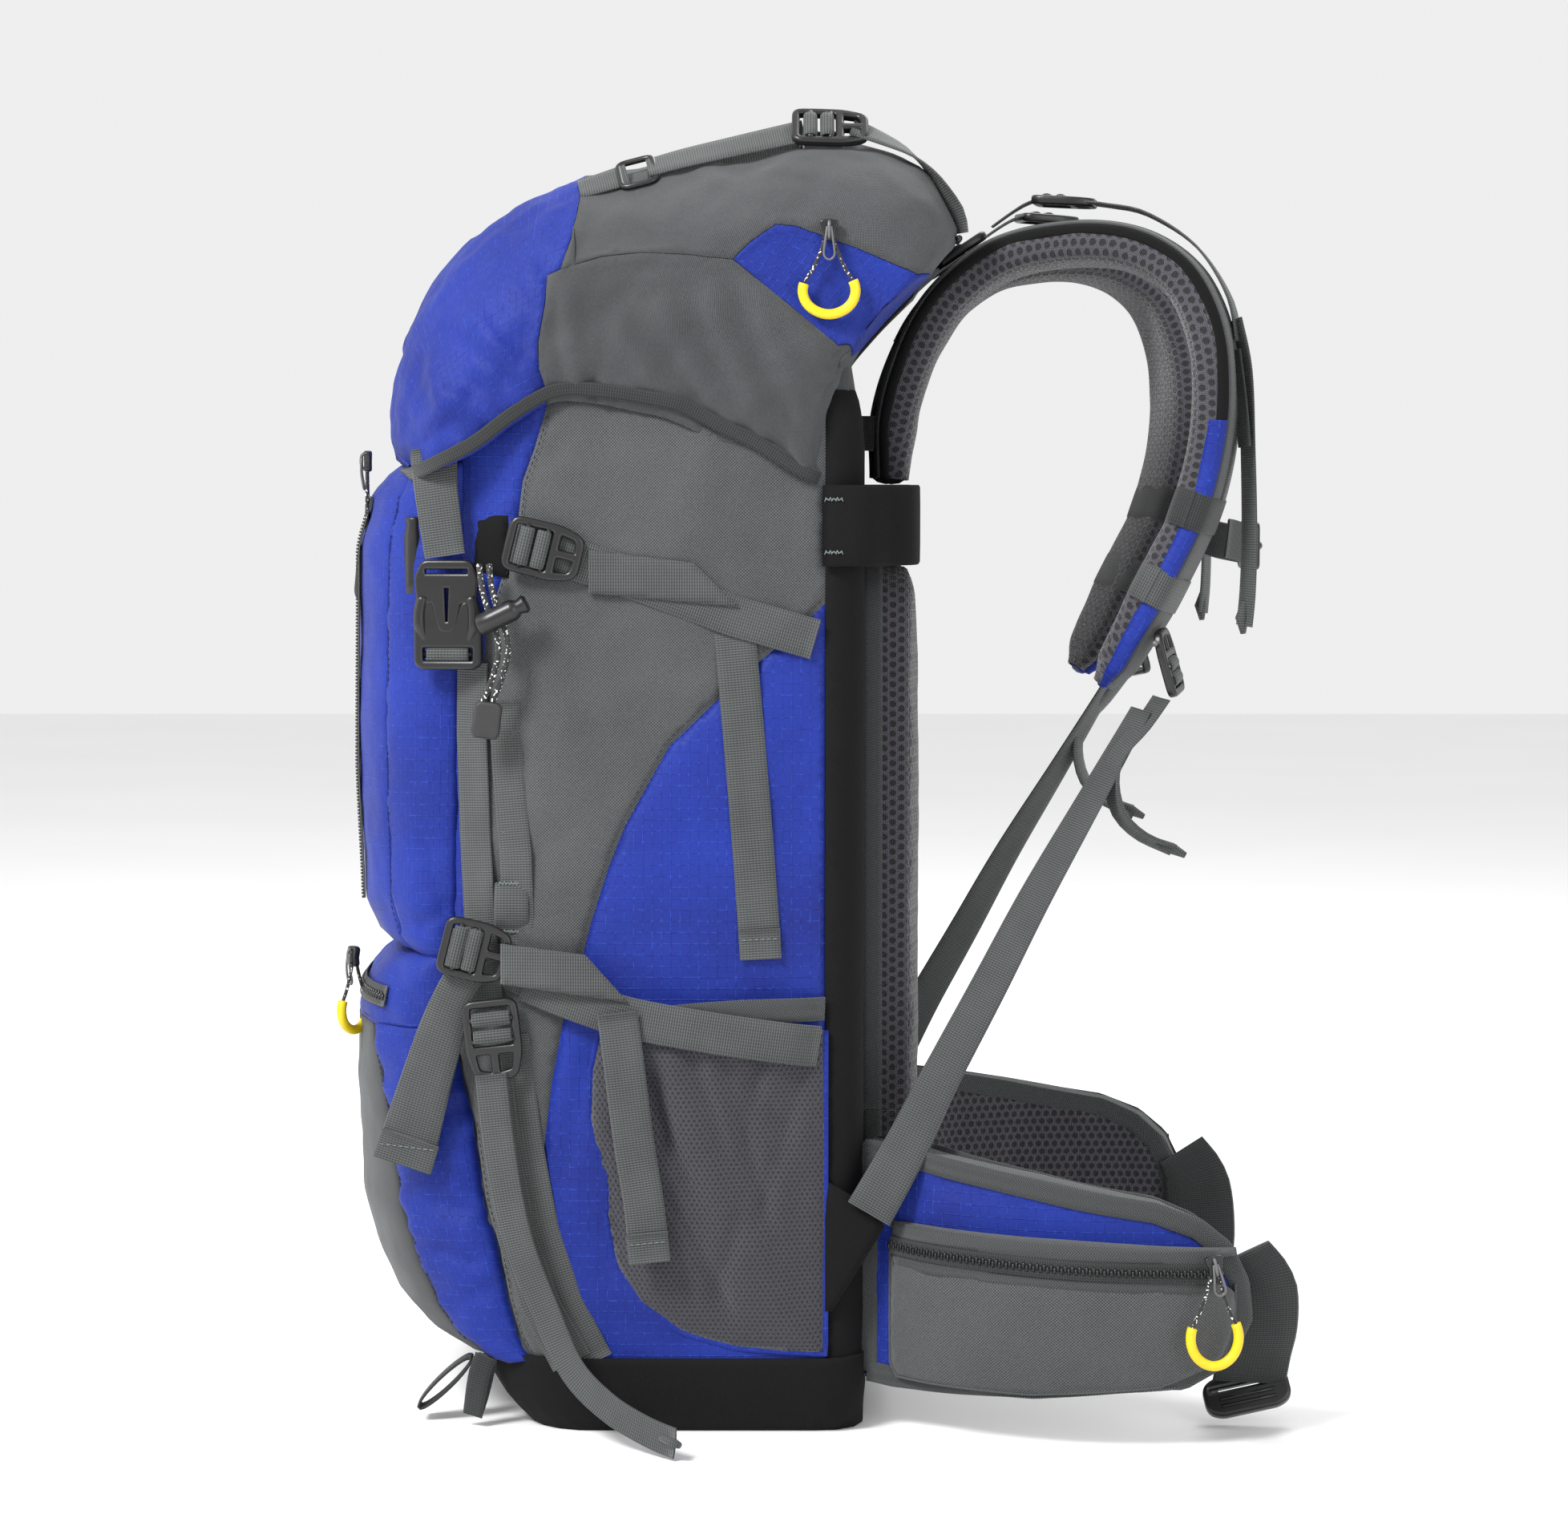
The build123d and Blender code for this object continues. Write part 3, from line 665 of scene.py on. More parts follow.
def tube(name, points, radius, material, body, nodes=(), side=1, ring=10, radii=None, ends=True):
    """A round bar or moulded tube along points."""
    points = [Vector(p) for p in points]
    count = len(points)
    verts, coords = [], []
    along = (points[1] - points[0]).normalized()
    guide = along.orthogonal().normalized()
    run = 0.0
    for i, p in enumerate(points):
        run += (p - points[i - 1]).length if i else 0.0
        along = (points[min(i + 1, count - 1)] - points[max(i - 1, 0)]).normalized()
        guide = (guide - along * guide.dot(along)).normalized()
        other = along.cross(guide)
        r = table_value(radii, i / (count - 1)) if radii else radius
        for k in range(ring):
            turn = 2 * math.pi * k / ring
            verts.append(p + guide * (math.cos(turn) * r) + other * (math.sin(turn) * r))
            coords.append((run, turn * r))
    faces = ring_faces(count, ring)
    if ends:
        faces.append(tuple(reversed(range(ring))))
        faces.append(tuple(range((count - 1) * ring, count * ring)))
    return piece(name, verts, faces, material, body, nodes, coords, side=side)


def curve_points(route, count=40):
    """Points read from the NURBS line of a route (mm)."""
    curve = nurbs("route_reader", route)
    ob = linked("route_reader", curve)
    mesh = evaluated_mesh(ob)
    points = [v.co / MM for v in mesh.vertices]
    bpy.data.objects.remove(ob)
    bpy.data.curves.remove(curve)
    bpy.data.meshes.remove(mesh)
    return resample(points, count)


def nurbs(name, route):
    """A NURBS line through a route's control points (mm)."""
    curve = bpy.data.curves.new(name, "CURVE")
    curve.dimensions = "3D"
    curve.resolution_u = 16
    line = curve.splines.new("NURBS")
    line.points.add(len(route) - 1)
    for point, p in zip(line.points, route):
        point.co = (p[0] * MM, p[1] * MM, p[2] * MM, 1)
    line.order_u = 3
    line.use_endpoint_u = True
    return curve


def cord(name, route, diameter, node, body, side=1):
    """A free cord on its route."""
    route = [(x * side, y, z) for x, y, z in route]
    curve = nurbs(name, route)
    curve.bevel_depth = diameter / 2 * MM
    curve.bevel_resolution = 3
    curve.use_fill_caps = True
    curve.materials.append(CORD)
    ob = linked(name, curve)
    claim(ob, body, [node] if node else ())
    return ob


# ---------------------------------------------------------------- bag surface

HALF_WIDTH = 147.0
FRONT_RADIUS = 90.0
REAR_Y = 95.0
REAR_RADIUS = 20.0
FRONT_LINE = [(0, -72), (12, -84), (34, -97), (67, -115), (100, -130), (150, -135.5),
              (215, -138), (360, -138), (500, -136)]
RIM = 495.0
COLLAR_RISE = 77


def rim_inset(z):
    """How far the bag is drawn in above its rim."""
    return 12 * max(0.0, (z - RIM) / COLLAR_RISE) ** 1.3


def front_shape(z):
    """The bag's half width, front and front corner radius at a height."""
    inset = rim_inset(z)
    width = HALF_WIDTH - 9 * max(0.0, 1 - z / 20) ** 2 - inset
    front = table_value(FRONT_LINE, z)
    radius = FRONT_RADIUS - 0.9 * (138 + front)
    return width, front + inset, radius


def bag(u, z):
    """The bag's outside: u runs round it (it is Y on the flat side), z is the height."""
    width, front, radius = front_shape(z)
    rear = REAR_Y - rim_inset(z)
    start = front + radius
    swell = 1.6 * math.sin(math.pi * min(max(z / 500, 0), 1))
    if u < start:
        turn = (start - u) / radius
        if turn <= math.pi / 2:
            x = width - radius + radius * math.cos(turn)
            return Vector((x + swell * math.cos(turn), start - radius * math.sin(turn), z))
        return Vector((width - radius - (turn - math.pi / 2) * radius, front, z))
    corner = rear - REAR_RADIUS
    if u <= corner:
        return Vector((width + swell, u, z))
    turn = (u - corner) / REAR_RADIUS
    if turn <= math.pi / 2:
        x = width - REAR_RADIUS + (REAR_RADIUS + swell) * math.cos(turn)
        return Vector((x, corner + REAR_RADIUS * math.sin(turn), z))
    return Vector((width - REAR_RADIUS - (turn - math.pi / 2) * REAR_RADIUS, rear, z))


def on_bag(line):
    """(Y, Z) points seen from the side, as (u, z) on the bag."""
    result = []
    for y, z in line:
        _, front, radius = front_shape(z)
        start = front + radius
        if y < start:
            y = start - radius * math.asin(min((start - y) / radius, 1.0))
        result.append((y, z))
    return result


def front_centre(z):
    """(u, z) of the middle of the bag's front at a height."""
    width, front, radius = front_shape(z)
    return (front + radius - radius * math.pi / 2 - (width - radius), z)


GREY_EDGE = [(-59, 520), (-62, 508), (-67, 491), (-73, 475), (-75.5, 455), (-77.5, 440),
             (-84, 427), (-92, 402), (-96, 356), (-98.5, 276), (-104, 243), (-112, 230)]
STRIP_EDGE = [(-111, 200), (-105, 176), (-99.5, 155), (-94, 115), (-87, 92), (-82.5, 68),
              (-77, 48), (-69.5, 36)]
ARC = [(76.5, 415), (64, 403), (45, 387), (21, 365), (-0.5, 344.5), (-12.5, 323), (-22.5, 305),
       (-30.5, 285), (-39.5, 257), (-43.5, 241), (-48.5, 225), (-53, 211)]
WEDGE = [(-59.5, 177), (-64, 140), (-66, 100), (-62, 60), (-57, 36)]
BASE_LINE = [(-31, 33), (5, 28), (49, 23), (76.5, 21)]

GREY_FOLDS = [(-66, 500, -20, 440, 5, 1.6), (-70, 470, -48, 505, 5, 1.5),
              (-76, 420, -60, 380, 8, 1.4), (-60, 425, -30, 330, 9, 1.2),
              (-95, 250, -60, 300, 7, 1.6), (-80, 300, -50, 250, 9, 1.0),
              (20, 480, 70, 450, 10, 1.0), (-20, 500, 40, 430, 12, -1.2)]
BLUE_FOLDS = [(-40, 200, -54, 120, 4, 1.4), (-46, 190, -58, 110, 3, 1.0),
              (-30, 60, 10, 40, 5, 1.0), (70, 380, 60, 260, 5, 1.0),
              (62, 390, 50, 300, 5, 0.7), (-32, 36, -34, 90, 3, 1.8)]


def bag_panels(label, side):
    """The sewn panels of the bag and their stitching."""
    grey = GREY_EDGE + STRIP_EDGE + WEDGE[::-1] + ARC[::-1] + [(76.5, 520)]
    patch(f"side_grey_{label}", bag, on_bag(grey), GREY, nodes=[f"side_panel_{label}"],
          folds=GREY_FOLDS, puff=2.6, reach=26, rumple=1.6, side=side)
    blue = ARC + WEDGE + BASE_LINE
    patch(f"side_blue_{label}", bag, on_bag(blue), BLUE, folds=BLUE_FOLDS, puff=2.2,
          reach=18, rumple=1.1, side=side)
    front = on_bag(GREY_EDGE) + [front_centre(230), front_centre(520)]
    patch(f"front_blue_{label}", bag, front, BLUE, nodes=["front_panel"], puff=1.6,
          rumple=0.8, side=side)
    low = on_bag([(-112, 230)] + STRIP_EDGE) + [front_centre(36), front_centre(230)]
    patch(f"front_low_{label}", bag, low, SMOOTH_GREY, puff=0.8, rumple=0.4, side=side)
    centre = 75 + REAR_RADIUS * math.pi / 2 + HALF_WIDTH - REAR_RADIUS
    rear = [(76.5, 520), (76.5, 21), (centre, 21), (centre, 520)]
    patch(f"back_black_{label}", bag, rear, BLACK, nodes=["back_panel"], cell=6, puff=1.2,
          rumple=0.5, side=side)
    for name, line, thread, lift in (
            ("arc", [(y - 2, z + 1.6) for y, z in ARC], DARK_THREAD, 0.9),
            ("edge", [(y + 2.2, z) for y, z in GREY_EDGE[1:8]], NAVY_THREAD, 0.8),
            ("strip", [(y + 2.2, z) for y, z in STRIP_EDGE[2:]], DARK_THREAD, 0.6),
            ("base", [(y, z + 2.6) for y, z in BASE_LINE], NAVY_THREAD, 0.8)):
        seam(f"{name}_stitch_{label}", bag, on_bag(line), thread, side=side, lift=lift)


def bag_loop(z, inward=0.0):
    """One closed ring of points round the bag at a height."""
    right = []
    low, high = front_centre(z)[0], 233.0
    for k in range(41):
        u = low + (high - low) * k / 40
        p = bag(u, z)
        right.append(p - normal_at(bag, u, z) * inward)
    right[0].x = right[-1].x = 0.0
    left = [Vector((-p.x, p.y, p.z)) for p in right[-2:0:-1]]
    return right + left


def rings(name, loops, material, body, nodes=(), thick=0.0, cap=False, scale=1.0, flip=False):
    """A surface through closed rings of the same size, with a UV by run and height."""
    count = len(loops[0])
    verts, coords = [], []
    rise = 0.0
    for j, loop in enumerate(loops):
        rise += (loop[0] - loops[j - 1][0]).length if j else 0.0
        run = 0.0
        for k, p in enumerate(loop):
            run += (p - loop[k - 1]).length if k else 0.0
            verts.append(p)
            coords.append((run * scale, rise * scale))
    faces = ring_faces(len(loops), count)
    if cap:
        faces.append(tuple(range((len(loops) - 1) * count, len(loops) * count)))
    if flip:
        faces = [f[::-1] for f in faces]
    return piece(name, verts, faces, material, body, nodes, coords, thick)


def base_and_lining():
    """The base, the dark lining and the gathered collar."""
    heights = [38, 34, 28, 20, 13, 8, 4, 1.5, 0.2]
    loops = [bag_loop(z, -1.3 * smooth((z - 8) / 20)) for z in heights]
    centre = Vector((0, 4, 0))
    for share in (0.97, 0.9, 0.7, 0.45, 0.2):
        loops.append([centre + (Vector((p.x, p.y, 0)) - centre) * share for p in loops[8]])
    for loop in loops[8:]:
        for p in loop:
            p.z = 0.2
    rings("base_panel", loops, BLACK, "pack", ["base"], 1.2, cap=True)
    inner = [bag_loop(z, 2.6) for z in (4, 12, 30, 60, 100, 160, 220, 300, 380, 440, 480, 500)]
    rings("bag_lining", inner, LINING, "pack", thick=0.5, flip=True)
    collar = []
    for k in range(15):
        z = 500 + 71 * k / 14
        pull = smooth((k - 8) / 6)
        ring = []
        for i, p in enumerate(bag_loop(z, 1.6)):
            ruffle = pull * (3.5 * math.sin(i * 1.31) + 2.5 * noise.noise(p * 0.05))
            way = Vector((p.x, p.y + 15, 0)).normalized()
            ring.append(p - way * (pull * 3 + max(ruffle, -2.0)))
        collar.append(ring)
    rings("collar_skirt", collar, SMOOTH_GREY, "pack", ["collar"], 0.8, flip=True)
    hem = [p + Vector((0, 0, 0.5)) for p in collar[-1]]
    tube("collar_hem", hem + [hem[0]], 2.2, BLACK, "pack", ring=8, ends=False)


both(bag_panels)
base_and_lining()

# ---------------------------------------------------------------- front pockets

POUCH_ROUND = 2.7
FRONT_POUCH = [(236, -128), (239, -142), (246, -153), (262, -161), (330, -164), (440, -163),
               (466, -156), (478, -147), (484, -136)]
LOW_POUCH = [(34, -99), (38, -116), (48, -134), (62, -147), (84, -157), (110, -163),
             (170, -166), (205, -165), (222, -159), (231, -150), (236, -136)]
LOW_ATTACH = [(34, -71), (48, -78), (68, -83), (92, -87.5), (115, -94.5), (156, -100),
              (176, -105.5), (200, -110), (236, -112)]
FRONT_ATTACH = [(236, -111), (260, -108), (484, -102)]


def pouch(extent, attach):
    """A stuffed pocket chart: a runs from the front centre (0) to the attach line (180)."""
    def chart(a, z):
        edge_y = table_value(attach, z)
        front = table_value(extent, z)
        u = on_bag([(edge_y, z)])[0][0]
        edge = bag(u, z)
        turn = max(min(a, 180.0), -30.0) / 180 * math.pi / 2
        sine = math.copysign(abs(math.sin(turn)) ** (2 / POUCH_ROUND), turn)
        cosine = max(math.cos(turn), 0.0) ** (2 / POUCH_ROUND)
        sag = 5 * math.sin(turn) ** 2 * math.cos(turn)
        return Vector((edge.x * sine, edge_y + (front - edge_y) * cosine + sag * 0.2, z))
    return chart


FRONT_CHART = pouch(FRONT_POUCH, FRONT_ATTACH)
LOW_CHART = pouch(LOW_POUCH, LOW_ATTACH)


def pouch_grid(name, chart, spans, columns, rows, material, nodes=(), side=1, folds=(),
               rumple=1.0, puff=0.0, ruffle=0.0, thick=1.0):
    """A patch of a pocket chart between two lines of a (functions of the height)."""
    low, high, first, last = spans
    verts, coords = [], []
    for j in range(rows + 1):
        z = low + (high - low) * j / rows
        a0, a1 = first(z), last(z)
        for i in range(columns + 1):
            s = i / columns
            a = a0 + (a1 - a0) * s
            p = chart(a, z)
            n = normal_at(chart, min(max(a, 1.0), 178.0), min(max(z, low + 1), high - 1))
            d = min(s * abs(a1 - a0) * 0.9, (1 - s) * abs(a1 - a0) * 0.9)
            h = puff * (1 - math.exp(-d / 12)) - 0.8 * math.exp(-d / 2.0)
            h += rumple * (noise.noise(p * 0.03) + 0.6 * noise.noise(p * 0.08))
            h += crease(p, folds)
            if ruffle:
                gather = math.exp(-d / 9)
                h += ruffle * gather * noise.noise(Vector((z * 0.11, d * 0.05, 3.0)))
            verts.append(p + n * h)
            coords.append((a * 0.92, z))
    faces = [(f[0], f[3], f[2], f[1]) for f in sheet_faces(rows, columns)]
    return piece(name, verts, faces, material, "pack", nodes, coords, thick, side)


def gusset_line(z):
    """Where the grey front of the low pocket meets its blue side band."""
    return table_value([(34, 128), (62, 124), (100, 118), (146, 112), (172, 104), (196, 88)], z)


def front_pockets(label, side):
    """The low pocket and the long pocket above it."""
    low_folds = [(-120, 92, -96, 82, 4, 2.2), (-124, 150, -104, 165, 4, 1.5),
                 (-122, 118, -100, 108, 5, 1.6), (-112, 60, -90, 72, 5, 1.2),
                 (-150, 205, -115, 180, 6, 2.4), (-140, 228, -118, 196, 5, 1.8),
                 (-122, 185, -110, 150, 4, -1.4)]
    pouch_grid(f"low_pocket_grey_{label}", LOW_CHART, (34.5, 200, lambda z: -0.5, gusset_line),
               34, 56, SMOOTH_GREY, ["bottom_pocket"], side, puff=1.2, rumple=0.8)
    pouch_grid(f"low_pocket_band_{label}", LOW_CHART,
               (34.5, 200, gusset_line, lambda z: 180.0), 18, 84, BLUE, (), side, low_folds,
               1.3, 1.8, 3.2)
    pouch_grid(f"low_pocket_top_{label}", LOW_CHART,
               (199.5, 236, lambda z: -0.5, lambda z: 180.0), 60, 16, BLUE, (), side,
               low_folds, 1.4, 0.8, 2.0)
    folds = [(-125, 300, -112, 255, 6, 1.6), (-150, 262, -120, 248, 6, 1.8),
             (-118, 470, -106, 420, 6, 1.2), (-140, 480, -120, 440, 7, 1.2),
             (-128, 252, -112, 262, 4, 1.4)]
    pouch_grid(f"front_pocket_side_{label}", FRONT_CHART,
               (236.5, 484, lambda z: 112.0, lambda z: 180.0), 20, 80, BLUE, ["front_pocket"],
               side, folds, 1.2, 1.4, 1.2)
    pouch_grid(f"front_pocket_face_{label}", FRONT_CHART,
               (236.5, 484, lambda z: -0.5, lambda z: 112.0), 34, 70, BLUE, (), side,
               folds, 1.0, 1.2)
    for name, chart, line, thread in (
            ("front_seam", FRONT_CHART, [(114.5, z) for z in range(246, 474, 6)], NAVY_THREAD),
            ("low_seam", LOW_CHART, [(gusset_line(z) + 2.4, z) for z in range(44, 194, 6)],
             NAVY_THREAD),
            ("low_cross", LOW_CHART, [(a, 202.5) for a in range(2, 92, 6)], NAVY_THREAD)):
        seam(f"{name}_{label}", chart, line, thread, side=side, lift=1.1)


def coil_zip(name, chart, line, body, side=1, lift=1.0, tape=11.0, nodes=()):
    """A coil zipper: its tape and two rows of interlocking coils."""
    points, ways, _ = lay(chart, line, lift)
    ribbon(f"{name}_tape", points, ways, tape, DARK_WEB, body, thick=0.7, side=side)
    length = run_length(points)
    count = int(length / 1.7)
    centres = resample(points, count)
    cross = spline(ways, count)
    verts, faces = [], []
    for i, p in enumerate(centres[:-1]):
        along = (centres[i + 1] - p).normalized()
        way = cross[i].normalized()
        n = along.cross(way)
        shift = way * (0.55 if i % 2 else -0.55)
        base = len(verts)
        for k in range(8):
            turn = math.pi * 2 * k / 8
            ring = way * (1.65 * math.cos(turn)) + n * (0.85 * math.sin(turn))
            verts.append(p + shift + ring - along * 0.5 + n * 0.7)
            verts.append(p + shift + ring + along * 0.5 + n * 0.7)
        for k in range(8):
            a, b = base + 2 * k, base + 2 * ((k + 1) % 8)
            faces.append((a, b, b + 1, a + 1))
        faces.append(tuple(base + 2 * k for k in range(7, -1, -1)))
        faces.append(tuple(base + 2 * k + 1 for k in range(8)))
    coords = [(v.y, v.z) for v in verts]
    return piece(f"{name}_teeth", verts, faces, PLASTIC, body, nodes, coords, side=side)


both(front_pockets)
coil_zip("front_zip_track", FRONT_CHART, [(52.0, z) for z in range(262, 470, 6)], "pack", 1, 3.4)
coil_zip("low_zip_track", LOW_CHART, [(a, 214.0) for a in range(0, 120, 6)], "pack", 1, 3.2)
coil_zip("low_zip_track_left", LOW_CHART, [(a, 214.0) for a in range(0, 120, 6)], "pack", -1,
         3.2)

# ---------------------------------------------------------------- mesh bottle pockets

MESH_LINE = [(-40, 183), (-41, 159), (-34.5, 119), (-28.5, 87), (-18.5, 66.5), (5, 51),
             (33, 43), (76.5, 40), (76.5, 203), (21, 211), (-35, 206)]
MESH_SEWN = [(-35, 206), (-40, 183), (-41, 159), (-34.5, 119), (-28.5, 87), (-18.5, 66.5),
             (5, 51), (33, 43), (76.5, 40), (76.5, 203)]
MESH_FOLDS = [(-20, 200, 10, 120, 5, 4.8), (5, 205, 34, 120, 5, 4.4), (45, 205, 35, 130, 5, 4.2),
              (68, 195, 40, 100, 5, 4.2), (-30, 175, -8, 88, 5, 3.6), (22, 200, 56, 80, 4, 3.6),
              (-5, 130, 30, 58, 4, 3.4), (58, 190, 20, 66, 4, 3.0), (-36, 150, -26, 92, 3, 3.0),
              (60, 150, 66, 60, 8, 3.0), (10, 130, 25, 60, 8, 3.0), (-8, 190, -2, 140, 5, 3.5),
              (28, 190, 60, 150, 6, 3.0), (-10, 110, 14, 62, 6, 3.0)]


def mesh_rise(d):
    """How far the mesh pocket stands off the bag at a distance from its sewn edge."""
    return 13.4 * (1 - math.exp(-d / 17))


def bottle_pocket(label, side):
    """The stretch mesh pocket, gathered under its hem."""
    def bulge(p, d):
        return mesh_rise(d) + 1.2 * noise.noise(p * 0.06) * min(1, d / 12)

    patch(f"bottle_pocket_{label}", bag, on_bag(MESH_LINE), STRETCH,
          nodes=[f"mesh_pocket_{label}"], cell=3.6, puff=0.0, tuck=0.2, rumple=0.0, lift=1.0,
          free=on_bag(MESH_SEWN), folds=MESH_FOLDS, side=side, shape=bulge, thick=0.7)
    points, ways, _ = lay(bag, dense(on_bag(MESH_SEWN), 6, False), 1.3)
    ribbon(f"bottle_pocket_edge_{label}", points, ways, 3.0, BLUE, "pack", thick=1.0, side=side)
    top = []
    for k in range(17):
        y = -34 + 110 * k / 16
        d = min(y + 35.5, 77 - y)
        z = 206 + 3 * math.sin(math.pi * k / 16) + 8 * k / 16
        top.append(Vector((147 + (1.4 + mesh_rise(d) + 0.8), y, z)))
    ribbon(f"bottle_pocket_hem_{label}", top, [(0, -0.1, 1), (0, 0.1, 1)], 12, BINDING, "pack",
           thick=1.2, side=side)


both(bottle_pocket)

# ---------------------------------------------------------------- lid

LID_TOP = [(-141, 487), (-146, 509), (-138.5, 542), (-129, 568), (-114, 588), (-95, 606),
           (-71, 620), (-44, 629), (-2, 637), (35, 643), (69, 647.5), (92, 647),
           (110, 642), (125, 633.5), (136, 622), (143, 608), (144, 597), (138, 587),
           (125, 575), (106, 556), (89, 534),
           (82, 505), (77, 473)]
LID_HEM = [(-131.7, 481), (-123, 478), (-110, 482), (-93, 490.5), (-77, 502.5), (-59, 513),
           (-41, 513.5), (-14, 508.5), (0, 505), (19, 496.5), (37, 491), (76.5, 473)]
LID_HALF = 151.5
TOP_SHARE = 0.35
LID_STEPS = 240
TOP_LINE = spline([(y, z, 0) for y, z in LID_TOP], LID_STEPS + 1)
HEM_LINE = spline([(y, z, 0) for y, z in LID_HEM], LID_STEPS + 1)
LID_SCALE = 500.0
LID_ACROSS = 300.0
LID_ROUND = [(0.0, 88), (0.16, 84), (0.3, 78), (0.5, 72), (0.6, 60), (0.7, 42), (1.0, 28)]


def lid(a, b):
    """The lid: a (0 to 500) runs over its top from the front hem, b (0 to 300) goes outward."""
    s = min(max(a / LID_SCALE, 0.0), 1.0)
    t = min(max(b / LID_ACROSS, 0.0), 1.0)
    k = min(s * LID_STEPS, LID_STEPS - 0.001)
    i = int(k)
    top = TOP_LINE[i].lerp(TOP_LINE[i + 1], k - i)
    hem = HEM_LINE[i].lerp(HEM_LINE[i + 1], k - i)
    down = hem - top
    reach = down.length
    radius = table_value(LID_ROUND, s)
    if t < TOP_SHARE:
        x = t / TOP_SHARE * (LID_HALF - radius)
        d = 0.0
    else:
        q = (t - TOP_SHARE) / (1 - TOP_SHARE)
        d = reach * (1 - math.cos(q * math.pi / 2))
        e = min(d, radius)
        x = LID_HALF - radius + math.sqrt(max(radius ** 2 - (radius - e) ** 2, 0.0))
        x -= 4.0 * smooth((d - reach + 26) / 26)
    sag = 5.0 * smooth(x / LID_HALF) * (1 - min(d / reach, 1.0)) * smooth(s * 8) \
        * smooth((1 - s) * 6)
    p = top + down * ((d + sag * 0.6) / reach)
    return Vector((x, p.x, p.y))


LATTICE = [(a, b) for a in range(0, 501, 10) for b in range(105, 301, 5)]
LATTICE_AT = [lid(a, b) for a, b in LATTICE]


def on_lid(line):
    """(Y, Z) points seen from the side, as (a, b) on the lid's side."""
    result = []
    for y, z in dense(line, 7.0, False):
        best = min(range(len(LATTICE)),
                   key=lambda i: (LATTICE_AT[i].y - y) ** 2 + (LATTICE_AT[i].z - z) ** 2)
        a, b = LATTICE[best]
        step = 5.0
        while step > 0.15:
            tries = [(min(max(a + i * step, 0), 500), min(max(b + j * step, 105), 300))
                     for i in (-1, 0, 1) for j in (-1, 0, 1)]
            a, b = min(tries, key=lambda t: (lid(*t).y - y) ** 2 + (lid(*t).z - z) ** 2)
            step *= 0.6
        result.append((a, b))
    return result


def run_of(y, z):
    """How far over the lid's top line a (Y, Z) point is."""
    nearest = min(range(LID_STEPS + 1),
                  key=lambda i: (TOP_LINE[i].x - y) ** 2 + (TOP_LINE[i].y - z) ** 2)
    return nearest * LID_SCALE / LID_STEPS


BLUE_SEAM = [(-45.8, 608), (-48.4, 593), (-53, 578), (-59.7, 574.8), (-60.8, 561),
             (-64.2, 543), (-64.2, 530), (-59.5, 517)]
TOP_SEAM = [(-53, 578), (-33, 584), (-14, 586), (6, 585.3), (31, 583)]
TRIANGLE = [(31, 583), (40, 592), (52, 600), (62, 599), (90, 589), (120, 576)]
TIP_EDGE = [(87.5, 537), (31, 583)]
LID_BLUE_FOLDS = [(-105, 560, -62, 520, 6, 4.4), (-118, 520, -84, 505, 5, 3.4),
                  (-124, 500, -100, 520, 4, 3.0), (-98, 535, -66, 505, 4, 3.0),
                  (-92, 548, -66, 512, 4, 2.0), (-122, 545, -108, 500, 4, 1.5),
                  (-140, 560, -128, 500, 5, 1.0), (-90, 600, -65, 570, 6, 1.6),
                  (-112, 500, -100, 484, 4, 1.6), (-85, 510, -78, 495, 3, 1.8),
                  (-70, 580, -62, 560, 4, 1.4)]
LID_GREY_FOLDS = [(39, 574, 70, 500, 6, 5.5), (52, 566, 84, 520, 5, 3.0),
                  (17, 570, 50, 490, 6, 4.5), (-6, 562, 34, 498, 6, 4.6),
                  (-30, 556, 6, 506, 6, 4.4), (-53, 572, -44, 516, 5, 3.6),
                  (28, 578, 46, 530, 4, -2.5), (-40, 575, 25, 500, 7, -1.5),
                  (-56, 545, -10, 506, 5, 2.4), (-60, 530, -35, 510, 4, 2.0),
                  (0, 520, 30, 498, 4, 1.8), (-25, 528, -8, 507, 3, 1.8),
                  (12, 510, 18, 494, 3, 1.6), (15, 640, 30, 590, 7, 2.2),
                  (-10, 636, 24, 588, 6, 1.6), (40, 525, 70, 478, 4, 2.0)]


def ruffled(p, _edge_distance):
    """The gathers of the elastic hem, near the side's lower edge."""
    near = math.exp(-max(p.z - 470 - max(0.0, 42 - abs(p.y + 38) * 0.42), 0.0) / 16)
    return near * (2.6 * noise.noise(Vector((p.y * 0.16, p.z * 0.03, 1.0)))
                   + 1.4 * noise.noise(Vector((p.y * 0.35, p.z * 0.05, 5.0))))


def hem_share(first, last):
    """Points on the lid's hem between two runs."""
    count = 12
    return [(first + (last - first) * k / count, LID_ACROSS) for k in range(count + 1)]


